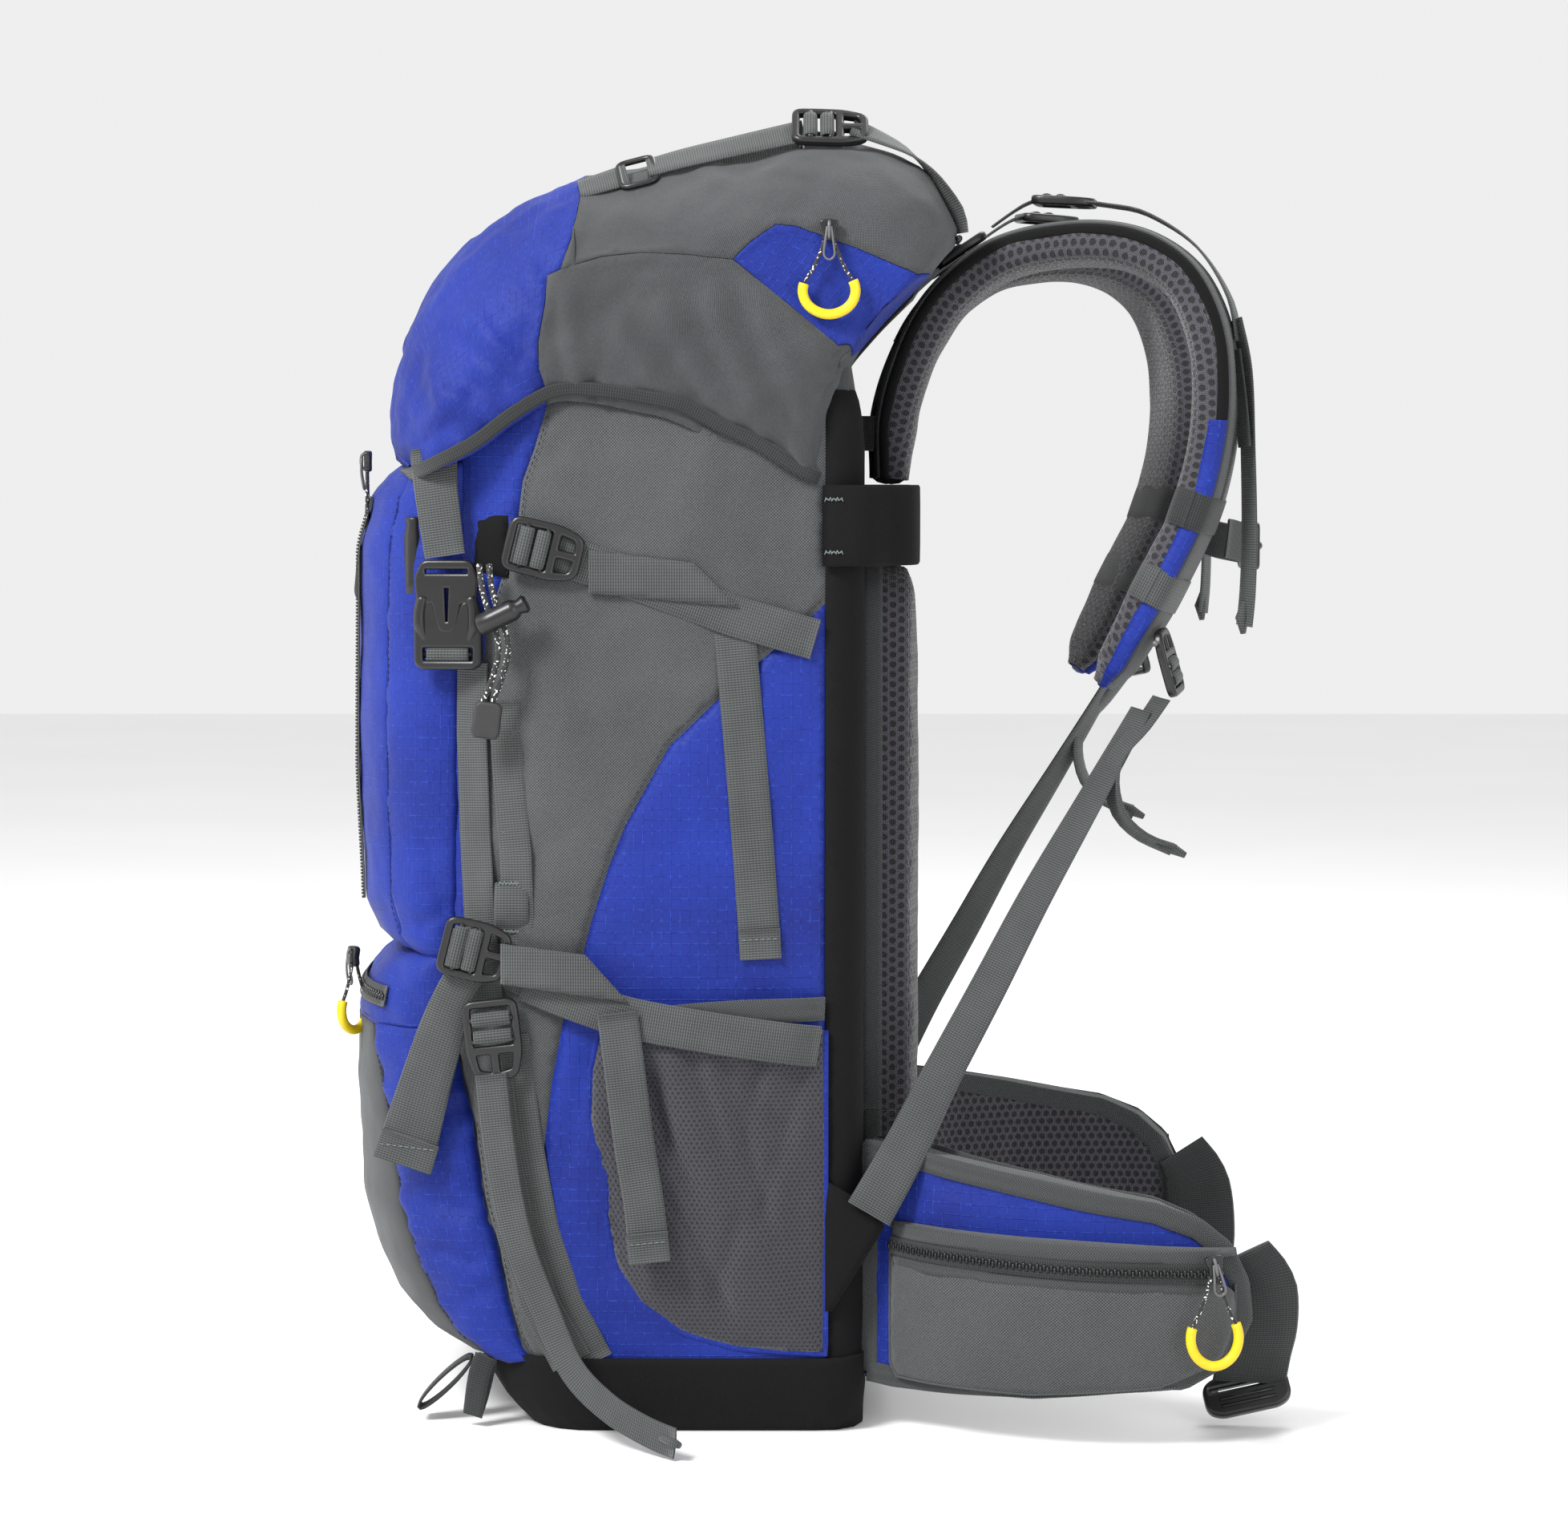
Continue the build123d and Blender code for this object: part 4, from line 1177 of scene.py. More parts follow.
def lid_panels(label, side):
    """The panels, tapes and stitching of the lid."""
    top = run_of(-44, 629.5)
    back = run_of(121, 575)
    tip = run_of(89, 536)
    flat_end = LID_ACROSS * TOP_SHARE
    seam_line = on_lid(BLUE_SEAM)
    hem_at = seam_line[-1][0]
    blue = [(0, 0), (top, 0), (top, flat_end)] + seam_line + [(hem_at, LID_ACROSS)] \
        + hem_share(hem_at, 0)[1:]
    patch(f"lid_blue_{label}", lid, blue, BLUE, "lid", ["lid_cover"], puff=2.2, reach=14,
          folds=LID_BLUE_FOLDS, rumple=3.0, side=side, shape=ruffled)
    top_seam = on_lid(TOP_SEAM)
    tri = on_lid(TRIANGLE)
    side_panel = seam_line[2:] + [(hem_at, LID_ACROSS)] + hem_share(hem_at, 500)[1:] \
        + [(500, 200), (500, flat_end), (tip, flat_end)] + on_lid(TIP_EDGE)[:-1] \
        + top_seam[:0:-1]
    patch(f"lid_grey_{label}", lid, side_panel, LID_GREY, "lid", puff=2.4, reach=18,
          folds=LID_GREY_FOLDS, rumple=3.2, side=side, shape=ruffled)
    crown = [(top, 0), (back, 0), (back, flat_end)] + tri[:0:-1] + top_seam[::-1] \
        + seam_line[1::-1] + [(top, flat_end)]
    patch(f"lid_top_{label}", lid, crown, LID_GREY, "lid", puff=1.8, reach=14,
          folds=LID_GREY_FOLDS, rumple=2.4, side=side)
    rear = [(back, 0), (500, 0), (500, flat_end), (tip, flat_end), (back, flat_end)]
    patch(f"lid_rear_{label}", lid, rear, BLACK, "lid", puff=1.2, rumple=1.0, side=side)
    blue_flap = tri + [(back, flat_end), (tip, flat_end)] + on_lid(TIP_EDGE)[:-1]
    patch(f"lid_triangle_{label}", lid, blue_flap, BLUE, "lid", ["lid_pocket"], cell=3.2,
          puff=3.0, reach=20, rumple=1.0, side=side,
          folds=[(70, 590, 84, 540, 4, 1.8), (95, 580, 86, 540, 4, 1.4),
                 (48, 590, 60, 570, 5, 0.9)])
    stitch_line = on_lid([(-66, 571), (-76.6, 565), (-94, 555.5), (-103, 542), (-113.5, 522.5),
                          (-121, 503), (-127, 491)])
    arc = on_lid([(31, 585), (42, 600), (60, 613), (82, 623), (104, 630)])
    for name, line, thread, lift in (
            ("blue", stitch_line, NAVY_THREAD, 2.6),
            ("seam", [(a + 2.5, b) for a, b in seam_line], DARK_THREAD, 1.4),
            ("top", [(a, b - 3) for a, b in top_seam], DARK_THREAD, 1.6),
            ("arc", arc, DARK_THREAD, 2.4)):
        seam(f"lid_{name}_stitch_{label}", lid, line, thread, "lid", side, lift=lift)
    flap = on_lid([(40, 597), (52, 605.5), (64, 605.5), (82, 600), (100, 593), (122, 583)])
    points, ways, _ = lay(lid, flap, 3.6)
    ribbon(f"lid_zip_flap_{label}", points, ways, 12, BINDING, "lid", thick=1.2, side=side)
    flap = on_lid([(44, 602), (56, 609.5), (68, 609.5), (86, 604), (104, 597), (124, 588)])
    seam(f"lid_flap_stitch_{label}", lid, flap, PALE_THREAD, "lid", side, lift=4.2)
    for name, line, lift, width, material, thick in (
            ("hem", [(a, 293) for a, _ in hem_share(0, 500)], -3.4, 7, DARK_WEB, 1.6),
            ("front_hem", [(2.5, b) for b in range(0, 301, 12)], 0.6, 6, BLUE, 1.6),
            ("rear_hem", [(497, b) for b in range(0, 301, 20)], 0.4, 6, DARK_WEB, 1.4)):
        points, ways, _ = lay(lid, line, lift)
        ribbon(f"lid_{name}_{label}", points, ways, width, material, "lid", thick=thick,
               side=side)


both(lid_panels)

# ---------------------------------------------------------------- buckles


def ladder_lock(name, place, length, width, body, nodes=(), side=1):
    """A ladder-lock: a window crossed by two bars with webbing round them, and a nose."""
    l, w = length / 2, width / 2
    outer = rounded([(-l, -w + 1), (-l * 0.3, -w), (l * 0.35, -w), (l, -w * 0.72),
                     (l, w * 0.72), (l * 0.35, w), (-l * 0.3, w), (-l, w - 1)], 4.5)
    window = box_outline(-l + 3.5, -w + 3.8, l * 0.16, w - 3.8, 2.2)
    holes = [rounded([(l * 0.36, s * 1.8), (l * 0.82, s * 1.8), (l * 0.74, s * (w - 6)),
                      (l * 0.36, s * (w - 4.4))], 1.6) for s in (-1, 1)]
    holes[0].reverse()
    plate(name, [outer, window, *holes], 4.6, 1.3, place, PLASTIC, body, nodes, side)
    for k, (x, r) in enumerate(((-l * 0.52, 1.7), (l * 0.02, 1.5))):
        bar = [place @ Vector((x, y, 1.0)) for y in (-w + 3, -w / 3, w / 3, w - 3)]
        tube(f"{name}_bar{k + 1}", bar, r, PLASTIC, body, side=side, ring=12)
    for k, x in enumerate((-l * 0.52, -l * 0.08)):
        wrap = []
        for angle in range(-40, 221, 20):
            turn = math.radians(angle)
            wrap.append(place @ Vector((x - 3.0 * math.cos(turn), 0, 0.6 + 2.4 * math.sin(turn))))
        across = place.to_3x3() @ Vector((0, 1, 0))
        ribbon(f"{name}_wrap{k + 1}", wrap, [across], width - 9, WEB, body, thick=1.2, side=side,
               steps=14)


def buckle_place(y, z, slope, x):
    """Lying on the bag's side at (y, z), its length turned by slope degrees from +Y."""
    turn = math.radians(slope)
    return place_at((x, y, z), (0, math.cos(turn), math.sin(turn)), (1, 0, 0))


def side_locks(label, side):
    """The four ladder-locks on each side of the pack."""
    rear = place_at((45, 147.2, 593.4), (0, 0.83, 0.56), (0, -0.56, 0.83))
    for name, place, length, width, nodes in (
            ("upper", buckle_place(-62, 441, -14, 152.6), 38, 28, ["ladder_locks"]),
            ("lower", buckle_place(-97, 243, -14, 151.5), 34, 30, ()),
            ("front", buckle_place(-88, 199, -84, 153.0), 40, 28, ()),
            ("rear", rear, 30, 28, ())):
        ladder_lock(f"{name}_lock_{label}", place, length, width, "pack", nodes, side)


both(side_locks)

# ---------------------------------------------------------------- webbing on the bag


def folded_end(name, end, along, way, width, side, thick=1.4):
    """The doubled, stitched end of a webbing tail."""
    end, along, way = Vector(end), Vector(along).normalized(), Vector(way).normalized()
    normal = along.cross(way)
    back = end - along * 15
    ribbon(name, [back + normal * thick, end + normal * thick * 0.9], [way], width + 0.6,
           WEB, "pack", thick=thick, side=side, steps=5)
    stitched = [back + along * 5 + normal * (thick * 1.6) + way * (w * width / 2 - 0.8 * w)
                for w in (-1, 0, 1)]
    stitches(name + "_stitch", stitched, [normal] * 3, PALE_THREAD, "pack", 2.6, (2.2, 0.32),
             side)


def bag_webbing(label, side):
    """Straps, tails, tabs and loops sewn to the bag."""
    def flat(name, line, width, lift=1.5, material=WEB, **more):
        points, ways, _ = lay(bag, on_bag(line), lift)
        ribbon(f"{name}_{label}", points, ways, width, material, "pack", side=side, **more)

    def free(name, line, ways, width, material=WEB, **more):
        ribbon(f"{name}_{label}", line, ways, width, material, "pack", side=side, **more)

    flat("upper_strap", [(-80, 446), (-62, 441), (-20, 427.5), (30, 409), (71.5, 397)], 20, 2.8,
         nodes=["compression_straps"])
    patch(f"upper_return_{label}", bag, on_bag([(-40, 441), (11, 435), (34, 413), (-40, 420)]),
          WEB, cell=3.5, puff=0.3, tuck=0.0, rumple=0.4, lift=4.6, thick=1.5, side=side)
    free("upper_tail", [(148.0, 31, 408), (149.6, 33, 386), (151.2, 37, 340), (151.2, 41, 290),
                        (151.8, 44.5, 240)], [(0, 1, 0.05)], 20.5)
    folded_end(f"upper_tail_end_{label}", (151.8, 44.5, 239), (0, 0.05, -1), (0, 1, 0.05), 20,
               side)
    flat("lower_strap_root", [(-118, 243), (-104, 241), (-84, 235), (-60, 225)], 20, 2.6)
    free("lower_strap", [(150.5, -72, 228), (156, -48, 219), (162.6, -20, 211), (165.4, 20, 204),
                         (162, 55, 198.5), (153, 73, 195.5)], [(0, 0.12, 1)], 20.5)
    patch(f"lower_return_{label}", lambda u, z: Vector((156.4 + 0.13 * (u + 84), u, z)),
          [(-84, 247), (-42, 242), (-21, 219), (-84, 227)], WEB, cell=3.5, puff=0.3, tuck=0.0,
          rumple=0.4, thick=1.5, side=side)
    free("lower_tail", [(166.4, -26, 214), (166.6, -23, 190), (167, -18, 150),
                        (166.8, -13, 118), (166.6, -10.5, 91)], [(0, 1, 0.1)], 20)
    folded_end(f"lower_tail_end_{label}", (166.6, -10.3, 90), (0, 0.1, -1), (0, 1, 0.1), 20,
               side)
    flat("front_strap", [(-97, 385), (-97.5, 350), (-96, 300), (-94, 260), (-90, 214)], 19, 3.0,
         nodes=["front_webbings"])
    flat("daisy", [(-82, 366), (-80, 330), (-76.5, 290), (-75, 244)], 17, 1.5)
    for z in (276, 252):
        n = normal_at(bag, on_bag([(-76, z)])[0][0], z)
        at = bag(*on_bag([(-76.5, z)])[0]) + n * 2.4
        bar_tack(f"daisy_tack{int(z)}_{label}", at, (0, 0, 1), (0, 1, 0), n, 16, "pack", side)
    loop = [bag(*on_bag([(-79, z)])[0]) + Vector((h, 0, 0))
            for z, h in ((276, 1.6), (270, 5.5), (262, 6.5), (256, 4.5), (252, 1.6))]
    free("daisy_loop", loop, [(0, 1, 0)], 17)
    flat("sewn_strap", [(-88, 182), (-84, 140), (-77, 100), (-66, 66), (-50, 36)], 21, 1.4)
    flat("sewn_strap_under", [(-80, 200), (-74, 150), (-66, 104), (-54, 66), (-39, 36)], 20, 0.9)
    tail = [(156, -89, 182), (157, -84, 140), (157.6, -76, 100), (158.5, -63, 66),
            (164, -49, 36), (176, -31, 20), (190, -12, 11.5), (203, 3, 8.2)]
    free("long_tail", tail, [(0.1, 1, 0), (0.2, 1, 0.1), (0.5, 0.6, 0.6), (0.5, 0.55, 0.65)],
         16, curl=0.5)
    tube(f"long_tail_end_{label}", [(197, -4, 9.6), (202, 1.8, 8.4), (205, 5.5, 7.6)], 2.4, WEB,
         "pack", side=side, ring=12, radii=[(0, 1.6), (0.4, 2.8), (1, 1.5)])
    mat = [(148, -98, 236), (146.5, -106, 224), (144, -115, 200), (142, -125, 168),
           (139.5, -134, 136)]
    free("mat_tail", mat, [(0.1, 1, 0.25), (0.15, 1, 0.25)], 26, curl=-0.8,
         widths=[(0, 17), (0.4, 24), (1, 30)])
    folded_end(f"mat_tail_end_{label}", (139.4, -134.6, 134), (-0.08, -0.3, -1),
               (0.15, 1, -0.1), 30, side)
    free("tie_strap", [(134, -94, 36), (134.5, -97, 28), (133, -99, 18), (131, -101, 5)],
         [(0, 1, 0), (0.4, 0.9, 0)], 11, DARK_WEB)
    free("tie_strap_back", [(131, -101, 5), (130, -98, 14), (130, -95, 26), (132, -93, 36)],
         [(0.2, 1, 0)], 10, DARK_WEB)
    ring = []
    for k in range(25):
        turn = 2 * math.pi * k / 24
        y, z = 18.5 * math.cos(turn), 3.4 * math.sin(turn)
        ring.append(Vector((114, -116 + y * 0.72 - z * 0.69, 18.5 + y * 0.69 + z * 0.72)))
    free("gear_loop", ring, [(1, 0, 0)], 13, DARK_WEB, nodes=["accessory_loops"], steps=40)
    patch(f"axe_tab_{label}", bag, on_bag([(-98, 458), (-80, 458), (-80, 427), (-98, 431)]),
          BLACK, puff=0.6, lift=1.4, rumple=0.2, cell=4, side=side)
    patch(f"anchor_tab_{label}", lambda a, b: Vector((150.4, a, b)),
          [(76.5, 128), (104, 112), (106, 104), (80, 62), (76.5, 62)], BLACK, puff=1.2,
          cell=4, thick=2.0, side=side)


both(bag_webbing)


def haul_loop():
    """The grab handle at the top of the back."""
    ring = []
    for k in range(33):
        turn = math.pi * (k / 32 - 0.5)
        ring.append(Vector((-18 + 36 * k / 32, 96.4 + 20 * math.cos(turn), 500)))
    ribbon("haul_loop", ring, [(0, 0, 1)], 18, DARK_WEB, "pack", thick=1.8, steps=40)
    tube("haul_loop_grip", ring[6:27], 5.2, BLACK, "pack", ring=14,
         radii=[(0, 4.0), (0.1, 5.4), (0.9, 5.4), (1, 4.0)])


haul_loop()

# ---------------------------------------------------------------- lid straps and clips


LID_STRAP_X = 110.0
CLIP_X = 142.4


def lid_webbing(label, side):
    """The strap over the lid, its buckles and bars."""
    x = LID_STRAP_X
    straps = ((f"lid_anchor_{label}", [(x, -46, 620), (x, -36, 623), (x, -22, 627.4)]),
              (f"lid_anchor_under_{label}", [(x, -46, 617.6), (x, -34, 620.6), (x, -22, 624.4)]),
              (f"lid_top_strap_{label}", [(x, -12, 630.5), (x, 6, 635.5), (x, 30, 641),
                                          (x, 50, 645.5), (x, 66, 649)]),
              (f"lid_under_strap_{label}", [(x, -12, 627), (x, 10, 630), (x, 36, 635),
                                            (x, 56, 638.6), (x, 70, 641)]),
              (f"lid_rear_strap_{label}", [(x, 90, 651), (x, 104, 645.5), (x, 118, 638.5),
                                           (x, 129, 628.5), (x, 138, 615), (x, 141.5, 607),
                                           (x, 142.5, 598)]))
    for k, (name, line) in enumerate(straps):
        ribbon(name, line, [(0.86, 0, -0.5), (0.8, 0, -0.6) if k < 4 else (0.85, 0.5, 0)], 20, WEB,
               "lid", ["lid_straps"] if k == 0 else (), side=side)
    lock = place_at((x, 79, 650.5), (0, 1, 0), (0.66, 0.04, 0.75))
    ladder_lock(f"lid_lock_{label}", lock, 38, 27, "lid", ["lid_hardware"], side)
    for name, origin, x_way, z_way, corners in (
            ("ring", (x, -17, 628.4), (0, 0.96, 0.26), (0.55, -0.2, 0.8),
             (-9, -12, 9, 12, 4.5)),
            ("tri_bar", (x, 76, 641.2), (0, 1, 0), (0.55, 0, 0.83),
             (-11, -12.5, 9, 12.5, 3.5))):
        place = place_at(origin, x_way, z_way)
        line = [place @ Vector((*p, 0)) for p in box_outline(*corners)]
        tube(f"lid_{name}_{label}", line + line[:2], 1.6, PLASTIC, "lid", side=side, ends=False)
    rear = place_at((x, 142.5, 597), (0, 0.2, -0.98), (0, 0.98, 0.2))
    tube(f"lid_rear_bar_{label}", [rear @ Vector((2, y, 0)) for y in (-12, -4, 4, 12)], 1.7,
         PLASTIC, "lid", side=side)


both(lid_webbing)


def clips(label, side):
    """The side-release clip between the lid and the bag."""
    x = CLIP_X
    body = f"clip_{label}"
    strap = [(132, -117.5, 492), (135.6, -117, 483), (138.4, -116, 472), (139.8, -114, 456),
             (141.6, -111.5, 438)]
    made = ribbon(f"clip_strap_{label}_web", strap, [(0.35, 1, 0), (0.05, 1, 0)], 22, WEB, None,
                  [f"clip_strap_{label}"], side=side, widths=[(0, 25), (0.5, 22), (1, 20)])
    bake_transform(made)
    top = place_at((x, -110.5, 424), (0, 0, 1), (1, -0.12, 0))
    shoulders = rounded([(-9, -15), (4, -16), (12, -12), (12, 12), (4, 16), (-9, 15), (-8, 8),
                         (-20, 4.5), (-24, 3), (-24, -3), (-20, -4.5), (-8, -8)], 2.4)
    slot = box_outline(4.5, -10.5, 8.5, 10.5, 1.4)
    groove = rounded([(-18, -1.3), (-2, -1.9), (-2, 1.9), (-18, 1.3)], 0.8)
    plate(f"clip_plate_{label}", [shoulders, slot, groove], 4.6, 1.3, top, PLASTIC, body,
          [f"clip_male_{label}"], side)
    for k, s in enumerate((-1, 1)):
        prong = [top @ Vector(p) for p in ((-6, s * 12, 0.3), (-14, s * 13.6, 0.6),
                                           (-22, s * 13.2, 0.6), (-29, s * 10.2, 0.3))]
        tube(f"clip_prong{k + 1}_{label}", spline(prong, 14), 2.6, PLASTIC, body, side=side,
             ring=12, radii=[(0, 3.0), (0.6, 3.2), (1, 1.4)])
    low = place_at((x - 1.2, -110, 399), (0, 0, 1), (1, -0.12, 0))
    shell = rounded([(-17, -13.5), (-15, -16.5), (10, -17), (17, -15), (17, -9), (5, -4.5),
                     (-1, 0), (5, 4.5), (17, 9), (17, 15), (10, 17), (-15, 16.5), (-17, 13.5)],
                    2.4)
    window = box_outline(-13.5, -12.2, -5.5, 12.2, 1.8)
    plate(f"clip_socket_{label}", [shell, window], 6.4, 1.6, low, PLASTIC, "pack",
          ["clip_females"], side)
    tube(f"clip_bar_{label}", [low @ Vector((-9.6, y, 0)) for y in (-13, -4, 4, 13)], 1.8,
         PLASTIC, "pack", side=side)
    wrap = [low @ Vector((-9.6 - 3.4 * math.cos(a), 0, 3.2 * math.sin(a)))
            for a in [math.radians(d) for d in range(-60, 241, 20)]]
    ribbon(f"clip_wrap_{label}", wrap, [low.to_3x3() @ Vector((0, 1, 0))], 21, WEB, "pack",
           thick=1.3, side=side, steps=18)


both(clips)

# ---------------------------------------------------------------- shoulder straps

STRAP_LINE = [
    (55, 111, 476), (55, 114.5, 512), (57, 126, 545), (60, 142, 569), (65, 168, 588),
    (73, 202, 595), (82, 233, 592), (88, 256, 578), (92, 269, 555), (93, 274, 528),
    (92, 273, 495), (90, 264, 458), (88, 246, 420), (86, 228, 386), (85, 219, 372),
]


def strap_frame(steps):
    """Centre, outward normal and width direction along the shoulder strap."""
    line = spline(STRAP_LINE, steps)
    frames = []
    for i, centre in enumerate(line):
        along = (line[min(i + 1, steps - 1)] - line[max(i - 1, 0)]).normalized()
        share = i / (steps - 1)
        way = Vector((1, 0, 0)).lerp(Vector((0.96, -0.28, 0)), share)
        way = (way - along * way.dot(along)).normalized()
        frames.append((centre, along.cross(way) * -1, way))
    return frames


STRAP_STEPS = 150
STRAP_HALF_WIDTH = 32
STRAP_HALF_DEPTH = 9.6
STRAP_FRAMES = strap_frame(STRAP_STEPS)
STRAP_LENGTH = run_length([f[0] for f in STRAP_FRAMES])


def strap_half_width(s):
    """Half the strap's width, narrower at its tip."""
    return STRAP_HALF_WIDTH * table_value([(0, 0.93), (0.15, 1.0), (0.55, 1.0), (0.85, 0.92),
                                           (0.94, 0.8), (0.98, 0.62), (1.0, 0.3)], s)


def strap_half_depth(s):
    """Half the strap's padding, thinner at both ends."""
    return STRAP_HALF_DEPTH * table_value([(0, 0.75), (0.06, 1.0), (0.9, 1.0), (0.97, 0.8),
                                           (1.0, 0.35)], s)


def strap_point(s, around):
    """A point on the strap's skin: around is 0 to 1 round its section from the outer edge."""
    k = min(max(s, 0.0), 0.99999) * (STRAP_STEPS - 1)
    i = int(k)
    centre = STRAP_FRAMES[i][0].lerp(STRAP_FRAMES[i + 1][0], k - i)
    n = STRAP_FRAMES[i][1].lerp(STRAP_FRAMES[i + 1][1], k - i)
    way = STRAP_FRAMES[i][2].lerp(STRAP_FRAMES[i + 1][2], k - i)
    turn = 2 * math.pi * around
    c, q = math.cos(turn), math.sin(turn)
    x = math.copysign(abs(c) ** 0.42, c) * strap_half_width(s)
    y = math.copysign(abs(q) ** 0.62, q) * strap_half_depth(s)
    return centre + way * x + n * y, n, way


def strap_middle(s):
    """The centre of the strap's section."""
    return strap_point(s, 0)[0].lerp(strap_point(s, 0.5)[0], 0.5)


def strap_strip(name, first, last, material, body, side, s_range=(0.0, 1.0), lift=0.0,
                nodes=(), rows=170, columns=14, puff=0.0, rumple=0.4, thick=1.0):
    """A lengthwise strip of the strap's skin, between two places round its section."""
    verts, coords = [], []
    for j in range(rows + 1):
        s = s_range[0] + (s_range[1] - s_range[0]) * j / rows
        centre = strap_middle(s)
        run = 0.0
        for i in range(columns + 1):
            t = i / columns
            p = strap_point(s, first + (last - first) * t)[0]
            out = (p - centre).normalized()
            h = lift + puff * (4 * t * (1 - t)) ** 0.5 + rumple * noise.noise(p * 0.05)
            run += (p - before).length if i else 0.0
            before = p
            verts.append(p + out * h)
            coords.append((s * STRAP_LENGTH, run))
    return piece(name, verts, sheet_faces(rows, columns), material, body, nodes, coords, thick,
                 side)


def shoulder(label, side):
    """The padded shoulder strap with its edges and keepers."""
    body = f"shoulder_{label}"
    skin = strap_strip(f"strap_mesh_{label}", 0.5, 1.03, SPACER, body, side,
                       nodes=[f"shoulder_strap_{label}"], columns=26, puff=1.2, rumple=1.0)
    strap_strip(f"strap_back_{label}", 0.085, 0.415, GREY, body, side, columns=16, puff=0.4)
    for name, black, blue in (("edge", (0.025, 0.115), (-0.005, 0.115)),
                              ("inner", (0.395, 0.475), (0.395, 0.505))):
        strap_strip(f"strap_{name}_black_{label}", *black, BLACK, body, side, (0.0, 0.68), 0.3,
                    columns=8, puff=0.6, rumple=0.3)
        strap_strip(f"strap_{name}_blue_{label}", *blue, BLUE, body, side, (0.675, 1.0), 0.5,
                    columns=8, puff=0.8, rumple=0.5)
    for k, around in enumerate((0.115, 0.395)):
        path = [p + n * 0.6 for p, n, _ in (strap_point(s / 110, around) for s in range(110))]
        tube(f"strap_piping{k + 1}_{label}", path, 1.5, BINDING, body, side=side, ring=8)
    for s, name in ((1.0, "tip"), (0.0, "root")):
        ring = [strap_point(abs(s - 0.0005), k / 40)[0] for k in range(40)]
        middle = sum(ring, Vector()) / 40
        out = (STRAP_FRAMES[-1][0] - STRAP_FRAMES[-2][0]).normalized() if s else Vector((0, 0, -1))
        verts = ring + [middle.lerp(p, 0.6) + out * 2.2 for p in ring] + [middle + out * 3.0]
        faces = []
        for k in range(40):
            q = (k + 1) % 40
            faces += [(k, q, 40 + q, 40 + k), (40 + k, 40 + q, 80)]
        if s:
            faces = [f[::-1] for f in faces]
        piece(f"strap_{name}_{label}", verts, faces, BLUE if s else BLACK, body, side=side,
              coords=[(v.x, v.y) for v in verts], thick=0.8)
    top = [strap_point(0.16 + 0.62 * k / 40, 0.25) for k in range(41)]
    ribbon(f"strap_spine_{label}", [p + n * 1.4 for p, n, _ in top], [w for _, _, w in top], 20,
           WEB, body, thick=1.6, side=side, steps=80)
    for name, s, material in (("keeper_a", 0.78, DARK_WEB), ("keeper_b", 0.875, WEB)):
        loop = []
        along = (strap_point(s + 0.01, 0.25)[0] - strap_point(s - 0.01, 0.25)[0]).normalized()
        centre = strap_middle(s)
        for k in range(49):
            p = strap_point(s, k / 48)[0]
            loop.append(centre + (p - centre) * 1.045 + (p - centre).normalized() * 1.3)
        ribbon(f"strap_{name}_{label}", loop, [along], 19, material, body, thick=1.4, side=side,
               steps=72)


both(shoulder)


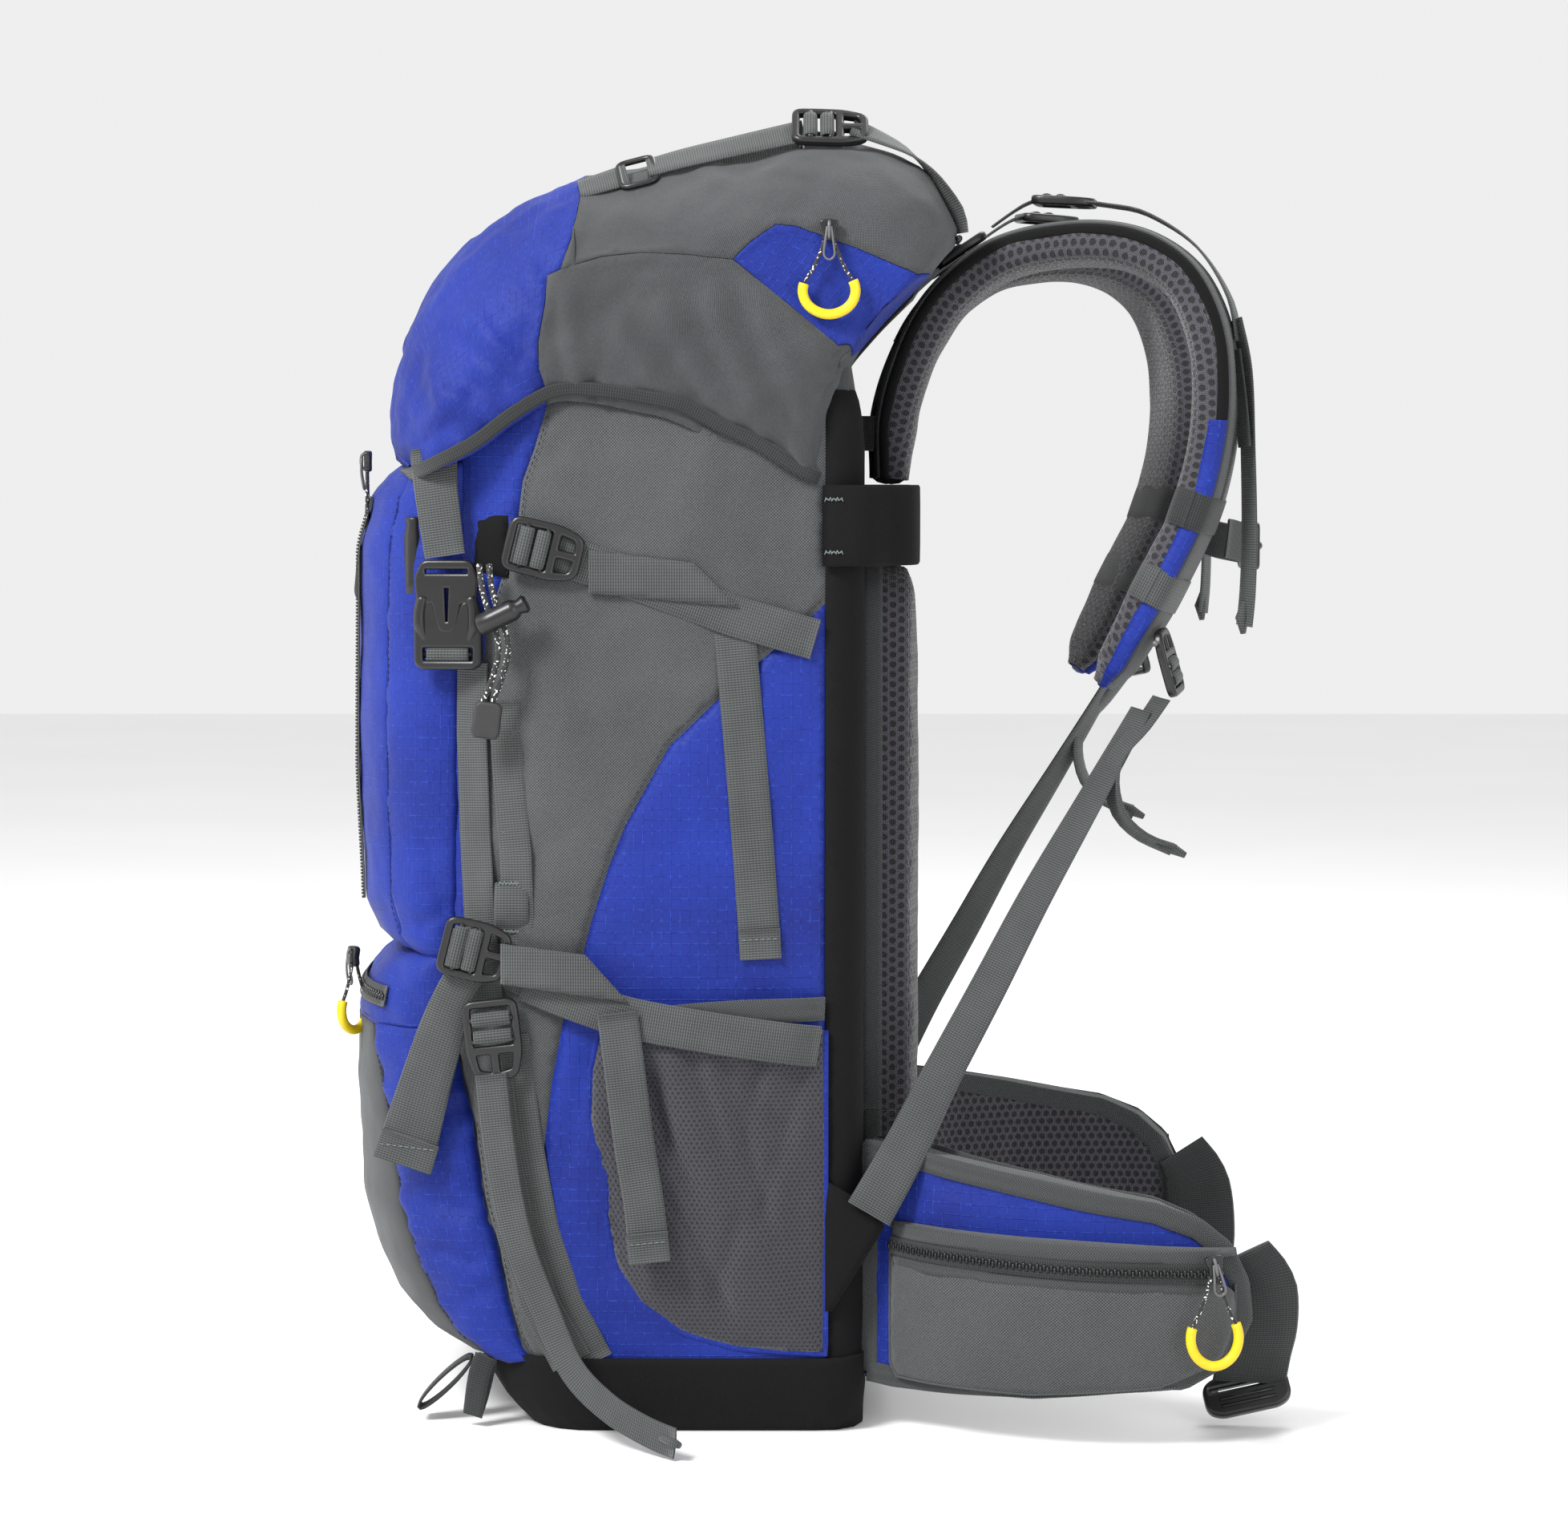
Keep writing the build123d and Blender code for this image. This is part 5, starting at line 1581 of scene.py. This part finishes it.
def strap_gear(label, side):
    """Webbing, locks and the sternum clip of a strap."""
    body = f"shoulder_{label}"

    def web(name, line, ways, width, material=WEB, **more):
        ribbon(f"{name}_{label}", line, ways, width, material, body, side=side, **more)

    lower = [(154.5, 98, 112), (148, 116, 143), (140, 134, 178), (132, 158, 222),
             (124, 182, 267), (114, 210, 315), (107, 236, 360)]
    ways = [(0, 0.87, -0.49), (0.25, 0.85, -0.4), (0.5, 0.75, -0.36), (0.7, 0.6, -0.3),
            (0.85, 0.4, -0.2), (0.9, 0.35, -0.2)]
    web("lower_webbing", lower, ways, 20, nodes=[f"strap_webbing_{label}"],
        widths=[(0, 24), (0.3, 20), (1, 20)])
    tail = [(112, 246, 366), (115, 236, 352), (116, 224, 338), (115, 221, 324), (115, 225, 308),
            (115, 236, 297), (115, 252, 290)]
    web("strap_tail", tail, [(0.9, 0.3, -0.3), (0.85, 0.4, 0.1), (0.8, 0.45, 0.2)], 16, curl=0.6)
    end = [(115, 244, 294), (115, 251, 290.6), (115, 258, 287)]
    tube(f"strap_tail_end_{label}", end, 2.6, WEB, body, side=side, ring=12,
         radii=[(0, 1.8), (0.5, 3.0), (1, 1.6)])
    web("lifter", [(57, 163, 605), (59, 172, 611.4), (62, 180, 616), (66, 188, 618.6)],
        [(1, 0, 0)], 19)
    web("lifter_top", [(71, 208, 616), (75, 220, 614.5), (82, 240, 609.5), (89, 264, 593),
                       (94, 280, 568), (97, 285, 545)], [(1, 0, 0), (0.96, -0.28, 0)], 20)
    web("lifter_tail", [(98, 283, 556), (100, 288, 530), (101, 289.5, 490), (101, 290.5, 450),
                        (100, 290, 420), (99.4, 288.5, 402)],
        [(0.95, 0.3, 0), (0.9, 0.42, 0)], 15)
    tube(f"lifter_tail_end_{label}", [(99.6, 288.5, 414), (99.4, 287.2, 406), (99.2, 288, 398)],
         2.6, WEB, body, side=side, ring=12, radii=[(0, 1.6), (0.5, 3.4), (1, 1.4)])
    web("lifter_short", [(103, 282, 540), (106, 285, 515), (107, 287, 492)], [(0.95, 0.3, 0)],
        14, DARK_WEB)
    lifter = place_at((68, 199, 616.6), (0.2, 0.97, -0.06), (0, 0.06, 1))
    ladder_lock(f"lifter_lock_{label}", lifter, 32, 27, body, [f"strap_hardware_{label}"], side)
    tip = place_at((104, 250, 384), (0.05, -0.25, 0.97), (0.3, 0.93, 0.25))
    ladder_lock(f"tip_lock_{label}", tip, 34, 27, body, side=side)
    web("tip_tab", [(100, 244, 402), (96, 246, 418), (92, 250, 432)], [(0.96, -0.2, 0.1)], 20,
        thick=1.8)
    pin = [tip @ Vector((12, y, -1.4)) for y in (-13.5, -5, 5, 13.5)]
    tube(f"tip_pin_{label}", pin, 1.5, METAL, body, side=side)
    sternum = [(84, 281, 446), (74, 286.5, 445), (62, 292.5, 443), (40, 299, 441.5),
               (24, 301, 441)]
    ribbon(f"sternum_web_{label}", sternum, [(0, 0.1, 1), (0, 0, 1)], 20, DARK_WEB,
           f"sternum_{label}", [f"sternum_strap_{label}"], side=side)
    place = place_at((12.4, 302, 441), (1, 0, 0), (0, 1, 0))
    outer = rounded([(-11.2, -11), (-6, -13), (11, -12), (11, 12), (-6, 13), (-11.2, 11)], 3)
    hole = box_outline(5.5, -9.5, 8.5, 9.5, 1.2)
    plate(f"sternum_clip_{label}", [outer, hole], 6.6, 1.5, place, PLASTIC, f"sternum_{label}",
          [f"sternum_buckle_{label}"], side)
    tube(f"sternum_button_{label}", [place @ Vector(p) for p in ((-6, 0, 3.0), (-1, 0, 3.6),
                                                                 (3, 0, 3.0))], 3,
         PLASTIC, f"sternum_{label}", side=side, radii=[(0, 1.2), (0.5, 2.4), (1, 1.2)])


both(strap_gear)

# ---------------------------------------------------------------- hip belt

WING_STEPS = 120
WING_HALF = 8.0
WING_LINE = spline([(121, 95, 0), (131, 116, 0), (150, 148, 0), (164, 196, 0), (166, 246, 0),
                    (158, 288, 0)], WING_STEPS + 1)
WING_LENGTH = run_length(WING_LINE)
WING_TOP = [(98, 143), (128, 140), (183, 131), (241, 119), (262, 110), (275, 98), (283, 80)]
WING_LOW = [(98, 26), (112, 24), (183, 23), (254, 30), (268, 38), (278, 48), (284, 62)]


def wing_at(run):
    """The wing's middle line at a distance from its root, with its outward way."""
    k = min(max(run / WING_LENGTH, 0.0), 0.99999) * WING_STEPS
    i = int(k)
    p = WING_LINE[i].lerp(WING_LINE[i + 1], k - i)
    along = (WING_LINE[min(i + 2, WING_STEPS)] - WING_LINE[max(i - 1, 0)]).normalized()
    return p, Vector((along.y, -along.x, 0))


def wing_outer(run, z):
    """The outer face of the belt wing."""
    p, out = wing_at(run)
    q = p + out * WING_HALF
    q.z = z
    return q


def wing_inner(run, z):
    """The body side; its run goes the other way so that its normal points to the wearer."""
    p, out = wing_at(-run)
    q = p - out * WING_HALF
    q.z = z
    return q


def wing_run(y):
    """How far along the wing's middle line a Y is."""
    nearest = min(range(WING_STEPS + 1), key=lambda i: abs(WING_LINE[i].y - y))
    return nearest / WING_STEPS * WING_LENGTH


def on_wing(line):
    """(Y, Z) points as (run, z) on the wing."""
    return [(wing_run(y), z) for y, z in line]


def wing_outline():
    """The wing's cut shape."""
    return on_wing(WING_LOW) + on_wing(WING_TOP)[::-1]


def belt_zip_line(lift=0.0):
    """The line of the belt pocket's zip, in (Y, Z)."""
    return [(116, 97.5 + lift), (150, 96 + lift), (200, 93.5 + lift), (240, 92 + lift),
            (266, 90 + lift)]


def belt_pocket_chart(run, z):
    """The stuffed belt pocket: stands off the wing's outer face."""
    p, out = wing_at(run)
    start, end = wing_run(112), wing_run(278)
    s = min(max((run - start) / (end - start), 0.0), 1.0)
    bulge = 17.0 * (math.sin(math.pi * s) ** 0.55) * (0.75 + 0.35 * s)
    t = min(max((z - 26) / 72, 0.0), 1.0)
    bulge *= (0.35 + 0.65 * math.sin(math.pi * min(t * 0.62 + 0.1, 1.0)) ** 0.7)
    q = p + out * (9.0 + min(bulge, 24.0))
    q.z = z
    return q


def belt(label, side):
    """A belt wing with its pocket, webbing and buckle half."""
    body = f"wing_{label}"
    outline = wing_outline()
    outer = patch(f"wing_outer_{label}", wing_outer, outline, BLUE, body,
                  [f"belt_wing_{label}"], puff=1.6, reach=14, rumple=0.8, side=side,
                  folds=[(120, 130, 200, 118, 6, 0.8)])
    swell(outer, len(dense(outline, 4.5)), 4.0, 1.8)
    inner = patch(f"wing_inner_{label}", wing_inner, [(-a, b) for a, b in outline], SPACER, body,
                  puff=2.6, reach=12, rumple=1.0, side=side)
    swell(inner, len(dense(outline, 4.5)), 4.0)
    rim = dense(outline + outline[:1], 4.0, False)
    points, ways = [], []
    for run, z in rim:
        p, out = wing_at(run)
        points.append(Vector((p.x, p.y, z)))
        ways.append(out)
    ribbon(f"wing_rim_{label}", points, ways, 17.5, BINDING, body, side=side, thick=2.0,
           steps=160)
    centre = Vector((wing_run(190), 80, 0))
    for face, depth, name in ((1, 8.9, "out"), (-1, 9.4, "in")):
        tape, across = [], []
        for run, z in rim:
            inward = (Vector((run, z, 0)) - centre).normalized() * 4.4
            p, out = wing_at(run - inward.x)
            q = p + out * (face * depth)
            tape.append(Vector((q.x, q.y, z - inward.y)))
        for i, out in enumerate(ways):
            along = tape[min(i + 1, len(tape) - 1)] - tape[max(i - 1, 0)]
            across.append(out.cross(along).normalized())
        ribbon(f"wing_binding_{name}_{label}", tape, across, 10.5, BINDING, body, side=side,
               thick=1.2, steps=170)
    cover = on_wing([(113, 91)] + [(y, z - 12.5) for y, z in belt_zip_line(6)]
                    + [(276, 76), (277, 62), (270, 44), (240, 31), (180, 26), (118, 27),
                       (113, 34)])
    patch(f"belt_pocket_{label}_face", belt_pocket_chart, cover, GREY, body,
          [f"belt_pocket_{label}"], puff=0.9, reach=14, rumple=0.5, side=side,
          folds=[(130, 60, 128, 84, 5, 1.2), (230, 40, 262, 60, 6, 1.0)])
    upper = on_wing(belt_zip_line(-1.5) + belt_zip_line(9)[::-1])
    patch(f"belt_pocket_{label}_flap", belt_pocket_chart, upper, BINDING, body, puff=0.8,
          rumple=0.3, lift=1.4, side=side)
    under = on_wing(belt_zip_line(-14) + belt_zip_line(-5)[::-1])
    patch(f"belt_pocket_{label}_welt", belt_pocket_chart, under, BINDING, body, puff=0.6,
          rumple=0.3, lift=1.0, side=side)
    zip_line = dense(on_wing(belt_zip_line(-3)), 5, False)
    coil_zip(f"belt_zip_{label}_track", belt_pocket_chart, zip_line, body, side, 1.8, 9.0)
    verts, coords = [], []
    for k in range(41):
        run = wing_run(113) + (wing_run(277) - wing_run(113)) * k / 40
        z = table_value([(0, 104), (0.5, 101), (1, 96)], k / 40)
        inner_point = wing_outer(run, z + 1.5)
        outer_point = belt_pocket_chart(run, z - 1)
        for j in range(6):
            p = inner_point.lerp(outer_point, j / 5)
            p.z += 2.0 * math.sin(math.pi * j / 5)
            verts.append(p)
            coords.append((run, j * 4.0))
    piece(f"belt_pocket_{label}_roof", verts, sheet_faces(40, 5), GREY, body, coords=coords,
          thick=1.0, side=side)
    verts, coords = [], []
    edge = dense(on_wing([(277, 80), (277, 62), (270, 44), (240, 31), (180, 26), (118, 27),
                          (113, 34), (113, 92)]), 4.0, False)
    for k, (run, z) in enumerate(edge):
        inner_point = wing_outer(run, z)
        outer_point = belt_pocket_chart(run, z)
        for j in range(4):
            verts.append(inner_point.lerp(outer_point, j / 3 * 0.98))
            coords.append((k * 4.0, j * 4.0))
    piece(f"belt_pocket_{label}_gusset", verts, sheet_faces(len(edge) - 1, 3), GREY, body,
          coords=coords, thick=1.0, side=side)
    strap = [(153, 284, 92), (150, 291, 80), (146, 294, 66), (139, 294.5, 48), (131, 292.5, 33),
             (126, 291, 21)]
    ribbon(f"belt_strap_{label}_web", strap, [(0.3, 0.8, 0.5), (0.1, 0.9, 0.4), (0, 0.97, 0.22)],
           38, DARK_WEB, f"belt_strap_{label}", [f"belt_webbing_{label}"], side=side, thick=1.8,
           widths=[(0, 30), (0.3, 38), (1, 38)])
    place = place_at((123.4, 290.2, 14.6), (0, 0.97, 0.22), (0.86, -0.1, 0.5))
    outer_line = rounded([(-22, -6), (-16, -9.5), (16, -9.5), (22, -6), (22, 6), (17, 9.5),
                          (-17, 9.5), (-22, 6)], 3.5)
    hole = box_outline(-18, 1.5, 18, 6.0, 1.6)
    plate(f"belt_clip_{label}", [outer_line, hole], 7.4, 1.7, place, PLASTIC,
          f"belt_strap_{label}", [f"belt_buckle_{label}"], side)
    for k, y in enumerate((-5.2, -1.6)):
        rib = [place @ Vector((x, y, 3.9)) for x in (-14, -5, 5, 14)]
        tube(f"belt_clip_rib{k + 1}_{label}", rib, 0.9, PLASTIC, f"belt_strap_{label}", side=side)
    pin = [place @ Vector((x, 3.6, -0.5)) for x in (-21, -18, -14)]
    tube(f"belt_clip_pin_{label}", pin, 2.0, METAL, f"belt_strap_{label}", side=side)


both(belt)

# ---------------------------------------------------------------- back pads


def pad(name, centre, size, radius, nodes, side=1, folds=()):
    """A foam pad under 3-D mesh, swelled by a cloth simulation, with a taped rim."""
    width, height, depth = size
    cx, y0, cz = centre

    def face(a, b):
        return Vector((cx - a, y0 + depth, cz + b))

    outline = box_outline(-width / 2, -height / 2, width / 2, height / 2, radius)
    front = patch(name, face, outline, SPACER, "pack", nodes, cell=4.0, puff=4.0, reach=9,
                  tuck=1.0, rumple=1.2, lift=-4.0, folds=folds, side=side, thick=1.2)
    swell(front, len(dense(outline, 4.0)), 4.0)
    rim = dense(outline + outline[:1], 4.0, False)
    points = [Vector((cx - a, y0 + depth / 2 - 3, cz + b)) for a, b in rim]
    ribbon(f"{name}_side", points, [(0, 1, 0)], depth - 3, SPACER, "pack", side=side,
           thick=1.6, steps=150)
    points = [Vector((cx - a, y0 + 5.5, cz + b)) for a, b in rim]
    ribbon(f"{name}_tape", points, [(0, 1, 0)], 10, BINDING, "pack", side=side, thick=3.0,
           steps=150)
    return front


def back_padding():
    """Back and lumbar pads, the back band and the frame sheet."""
    for label, side in SIDES:
        pad(f"back_pad_{label}", (58, 95.5, 282), (86, 296, 28), 22, ["back_pads"], side)
        pad(f"lumbar_pad_{label}", (51, 95.5, 78), (98, 100, 20), 16, ["lumbar_pad"], side)
    ring = [(-150, 75), (-150.6, 82), (-147, 96), (-132, 108), (-112, 121.5), (-60, 124.5),
            (0, 118), (60, 124.5), (112, 121.5), (132, 108), (147, 96), (150.6, 82), (150, 75)]
    ribbon("back_band_web", [(x, y, 453) for x, y in ring], [(0, 0, 1)], 40, BLACK, "pack",
           ["back_band"], thick=1.6, steps=110)
    for label, side in SIDES:
        for z in (466, 440):
            bar_tack(f"band_tack{z}_{label}", (151.6, 81, z), (0, 0, 1), (0, 1, 0), (1, 0, 0), 10,
                     "pack", side)
    verts = [Vector((x, 89.6 - 0.8 * (k % 2), 62 + 100 * k))
             for k in range(5) for x in (-115, -60, 0, 60, 115)]
    piece("frame_sheet_panel", verts, sheet_faces(4, 4), FRAME_SHEET, "pack", ["frame_sheet"],
          [(p.x, p.z) for p in verts], 2.0)


back_padding()

# ---------------------------------------------------------------- zip pulls and cords


def slider(name, place, body, nodes, side=1):
    """A zip slider: a waisted body, a bridge and a wire puller."""
    outer = rounded([(-5.4, -2.6), (-4.6, -4.6), (1, -3.0), (4.8, -3.4), (5.4, 0), (4.8, 3.4),
                     (1, 3.0), (-4.6, 4.6), (-5.4, 2.6)], 1.2)
    plate(name, [outer], 3.6, 0.8, place, PLASTIC, body, nodes, side)
    bridge = [place @ Vector(p) for p in ((-4, 0, 1.6), (-3.2, 0, 3.0), (0, 0, 3.5),
                                          (3.2, 0, 3.0), (4, 0, 1.6))]
    tube(f"{name}_bridge", spline(bridge, 12), 0.85, METAL, body, side=side, ring=8)
    wire = [place @ Vector(p) for p in ((-1.6, -1.0, 3.0), (5, -1.9, 3.4), (12, -2.6, 2.4),
                                        (14.4, 0, 2.0), (12, 2.6, 2.4), (5, 1.9, 3.4),
                                        (-1.6, 1.0, 3.0))]
    tube(f"{name}_wire", spline(wire, 30), 0.6, METAL, body, side=side, ring=8)


def loop_route(top, drop, half, depth_way):
    """A hanging cord loop: down one side, round the grip and up the other side."""
    x, y, z = top
    dx, dy = depth_way
    spread = [(-0.16, 0), (-0.45, 0.34), (-1, 0.62), (-0.78, 0.9), (0, 1.03),
              (0.78, 0.9), (1, 0.62), (0.45, 0.34), (0.16, 0)]
    return [(x + dx * s * half, y + dy * s * half, z - drop * d) for s, d in spread]


def yellow_grip(name, route, body, side=1):
    """The moulded grip on a cord loop."""
    points = curve_points(route, 60)
    return tube(name, points[15:46], 2.5, YELLOW, body, side=side, ring=14)


def pull(name, top, drop, half, way, length, body, node, place, side=1):
    """A zip slider with its cord loop and grip."""
    route = loop_route(top, drop, half, way)
    slider(f"{name}_slider", place, body, [f"{node}_zip"], side)
    grip = yellow_grip(f"{name}_grip", route, body, side)
    cord(f"{name}_cord", route, 1.8, f"{node}_zip_cord", body,
         side)


pull("lid_pull", (157.9, 78, 592), 36, 14, (0, 1), 92.5, "lid_zip", "lid",
     place_at((156.2, 78, 597), (0, 0, -1), (1, 0, 0)))
for label, side in SIDES:
    pull(f"belt_pull_{label}", (193.5, 266, 88), 44, 13, (-0.12, 0.99), 104.6,
         f"belt_zip_{label}", f"belt_{label}",
         place_at((192.2, 266, 93), (0, 0.2, -1), (1, 0.1, 0)), side)
pull("low_pull", (75, -165, 227), 34, 12, (0.85, -0.52), 84.6, "bottom_zip", "bottom",
     place_at((74.5, -165.2, 231), (0, 0, -1), (0.5, -0.85, 0)))
FRONT_ROUTE = loop_route((70, -157, 480), 40, 4.5, (1, 0))
slider("front_pull_slider", place_at((70, -156.6, 485), (0, 0, -1), (0, -1, 0)), "front_zip",
       ["front_zip"])
TAB_PLACE = place_at((70, -157, 428), (0, 0, 1), (1, 0, 0))
FRONT_TAB = plate("front_pull_tab", [rounded([(-14, -5.4), (-10, -6.4), (11, -4.6), (15, -3.0),
                                              (15, 3.0), (11, 4.6), (-10, 6.4), (-14, 5.4)], 3)],
                  5.0, 1.6, TAB_PLACE, RUBBER, "front_zip")
cord("front_pull_cord", FRONT_ROUTE, 1.8, "front_zip_cord", "front_zip")

AXE_ROUTE = [(151, -89, 434), (155, -88, 420), (160, -78, 397), (160, -81, 380),
             (158, -87, 367)]


def axe_holder(label, side):
    """The axe loop with its lock, tag and spare lock."""
    tag_place = place_at((157.5, -90, 357.8), (0, 0.14, 1), (1, 0, 0))
    tag = plate(f"axe_tag_{label}", [rounded([(-9, -6), (-6, -7), (9, -6), (9, 6), (-6, 7),
                                              (-9, 6)], 2.4)],
                5.4, 1.5, tag_place, RUBBER, "pack", ["axe_tags"], side)
    for k in range(2):
        route = [(x, y - 4.8 * k, z) for x, y, z in AXE_ROUTE]
        cord(f"axe_cord{k + 1}_{label}", route, 3.0, "axe_cords", "pack",
             side)
    spare = [(121, -128, z) for z in (418, 419, 424, 432, 440, 448, 453, 456, 457)]
    tube(f"spare_lock_{label}", spare, 5.2, PLASTIC, "pack", side=side, ring=18,
         radii=[(0, 4.4), (0.04, 5.6), (0.7, 5.6), (0.74, 4.4), (0.82, 4.4), (0.86, 5.2),
                (1, 4.6)])
    ribbon(f"spare_tab_{label}", [(126, -108, 448), (124, -118, 452), (121, -127, 453)],
           [(0, 0.1, 1)], 12, BLACK, "pack", side=side)
    along = Vector((0.1, 0.86, 0.42)).normalized()
    centre = Vector((160.6, -82.0, 409.5))
    barrel = [centre + along * d for d in (-13, -12, -6, 0, 5, 6, 7.5, 9, 12.5, 13.5)]
    tube(f"cord_lock_{label}_barrel", barrel, 5.2, PLASTIC, f"cord_lock_{label}",
         [f"cord_lock_{label}"], side=side, ring=18,
         radii=[(0, 4.6), (0.04, 5.4), (0.6, 5.4), (0.66, 4.8), (0.7, 3.6), (0.8, 3.6),
                (0.84, 4.6), (0.97, 4.6), (1, 3.9)])


both(axe_holder)

# ---------------------------------------------------------------- stage


FLOOR_HALF = 6
FLOOR_Z = -0.001
SKY_STRENGTH = 0.86
LENS = 90.94
CAMERA_PLACE = (2.10, 0.056, 0.475)
CAMERA_PITCH = 0.0711


def stage():
    """The floor, the lamps, the sky and the camera."""
    mesh = bpy.data.meshes.new("floor")
    mesh.from_pydata([(x * FLOOR_HALF, y * FLOOR_HALF, FLOOR_Z)
                      for x, y in ((-1, -1), (1, -1), (1, 1), (-1, 1))], [], [(0, 1, 2, 3)])
    floor = linked("floor", mesh)
    pale = Finish("floor_pale", 0.9, 0.1)
    pale.colour(pale.mix(pale.noise(3), (0.86, 0.86, 0.86), (0.9, 0.9, 0.9)))
    mesh.materials.append(pale.material)
    world = bpy.data.worlds.new("studio")
    world.use_nodes = True
    sky = world.node_tree.nodes["Background"]
    sky.inputs[0].default_value = (1, 1, 1, 1)
    sky.inputs[1].default_value = SKY_STRENGTH
    bpy.context.scene.world = world
    for name, place, aim, energy, size in (
            ("key", (1.5, -1.3, 2.1), (0, 0, 0.3), 85, 0.7),
            ("fill", (1.9, 1.5, 0.9), (0, 0.1, 0.3), 14, 1.4),
            ("rim", (-1.2, 0.6, 2.0), (0, 0, 0.3), 22, 1.2),
            ("front", (0.2, -2.2, 0.9), (0, 0, 0.3), 10, 1.4)):
        data = bpy.data.lights.new(name, "AREA")
        data.energy = energy
        data.size = size
        lamp = linked(name, data)
        lamp.location = place
        way = Vector(aim) - Vector(place)
        lamp.rotation_euler = way.to_track_quat("-Z", "Y").to_euler()
    data = bpy.data.cameras.new("camera")
    data.lens = LENS
    data.sensor_width = 36.0
    camera = linked("camera", data)
    camera.location = CAMERA_PLACE
    camera.rotation_euler = (math.pi / 2 - CAMERA_PITCH, 0, math.pi / 2)
    bpy.context.scene.camera = camera
    bpy.context.scene.view_settings.view_transform = "Standard"


stage()
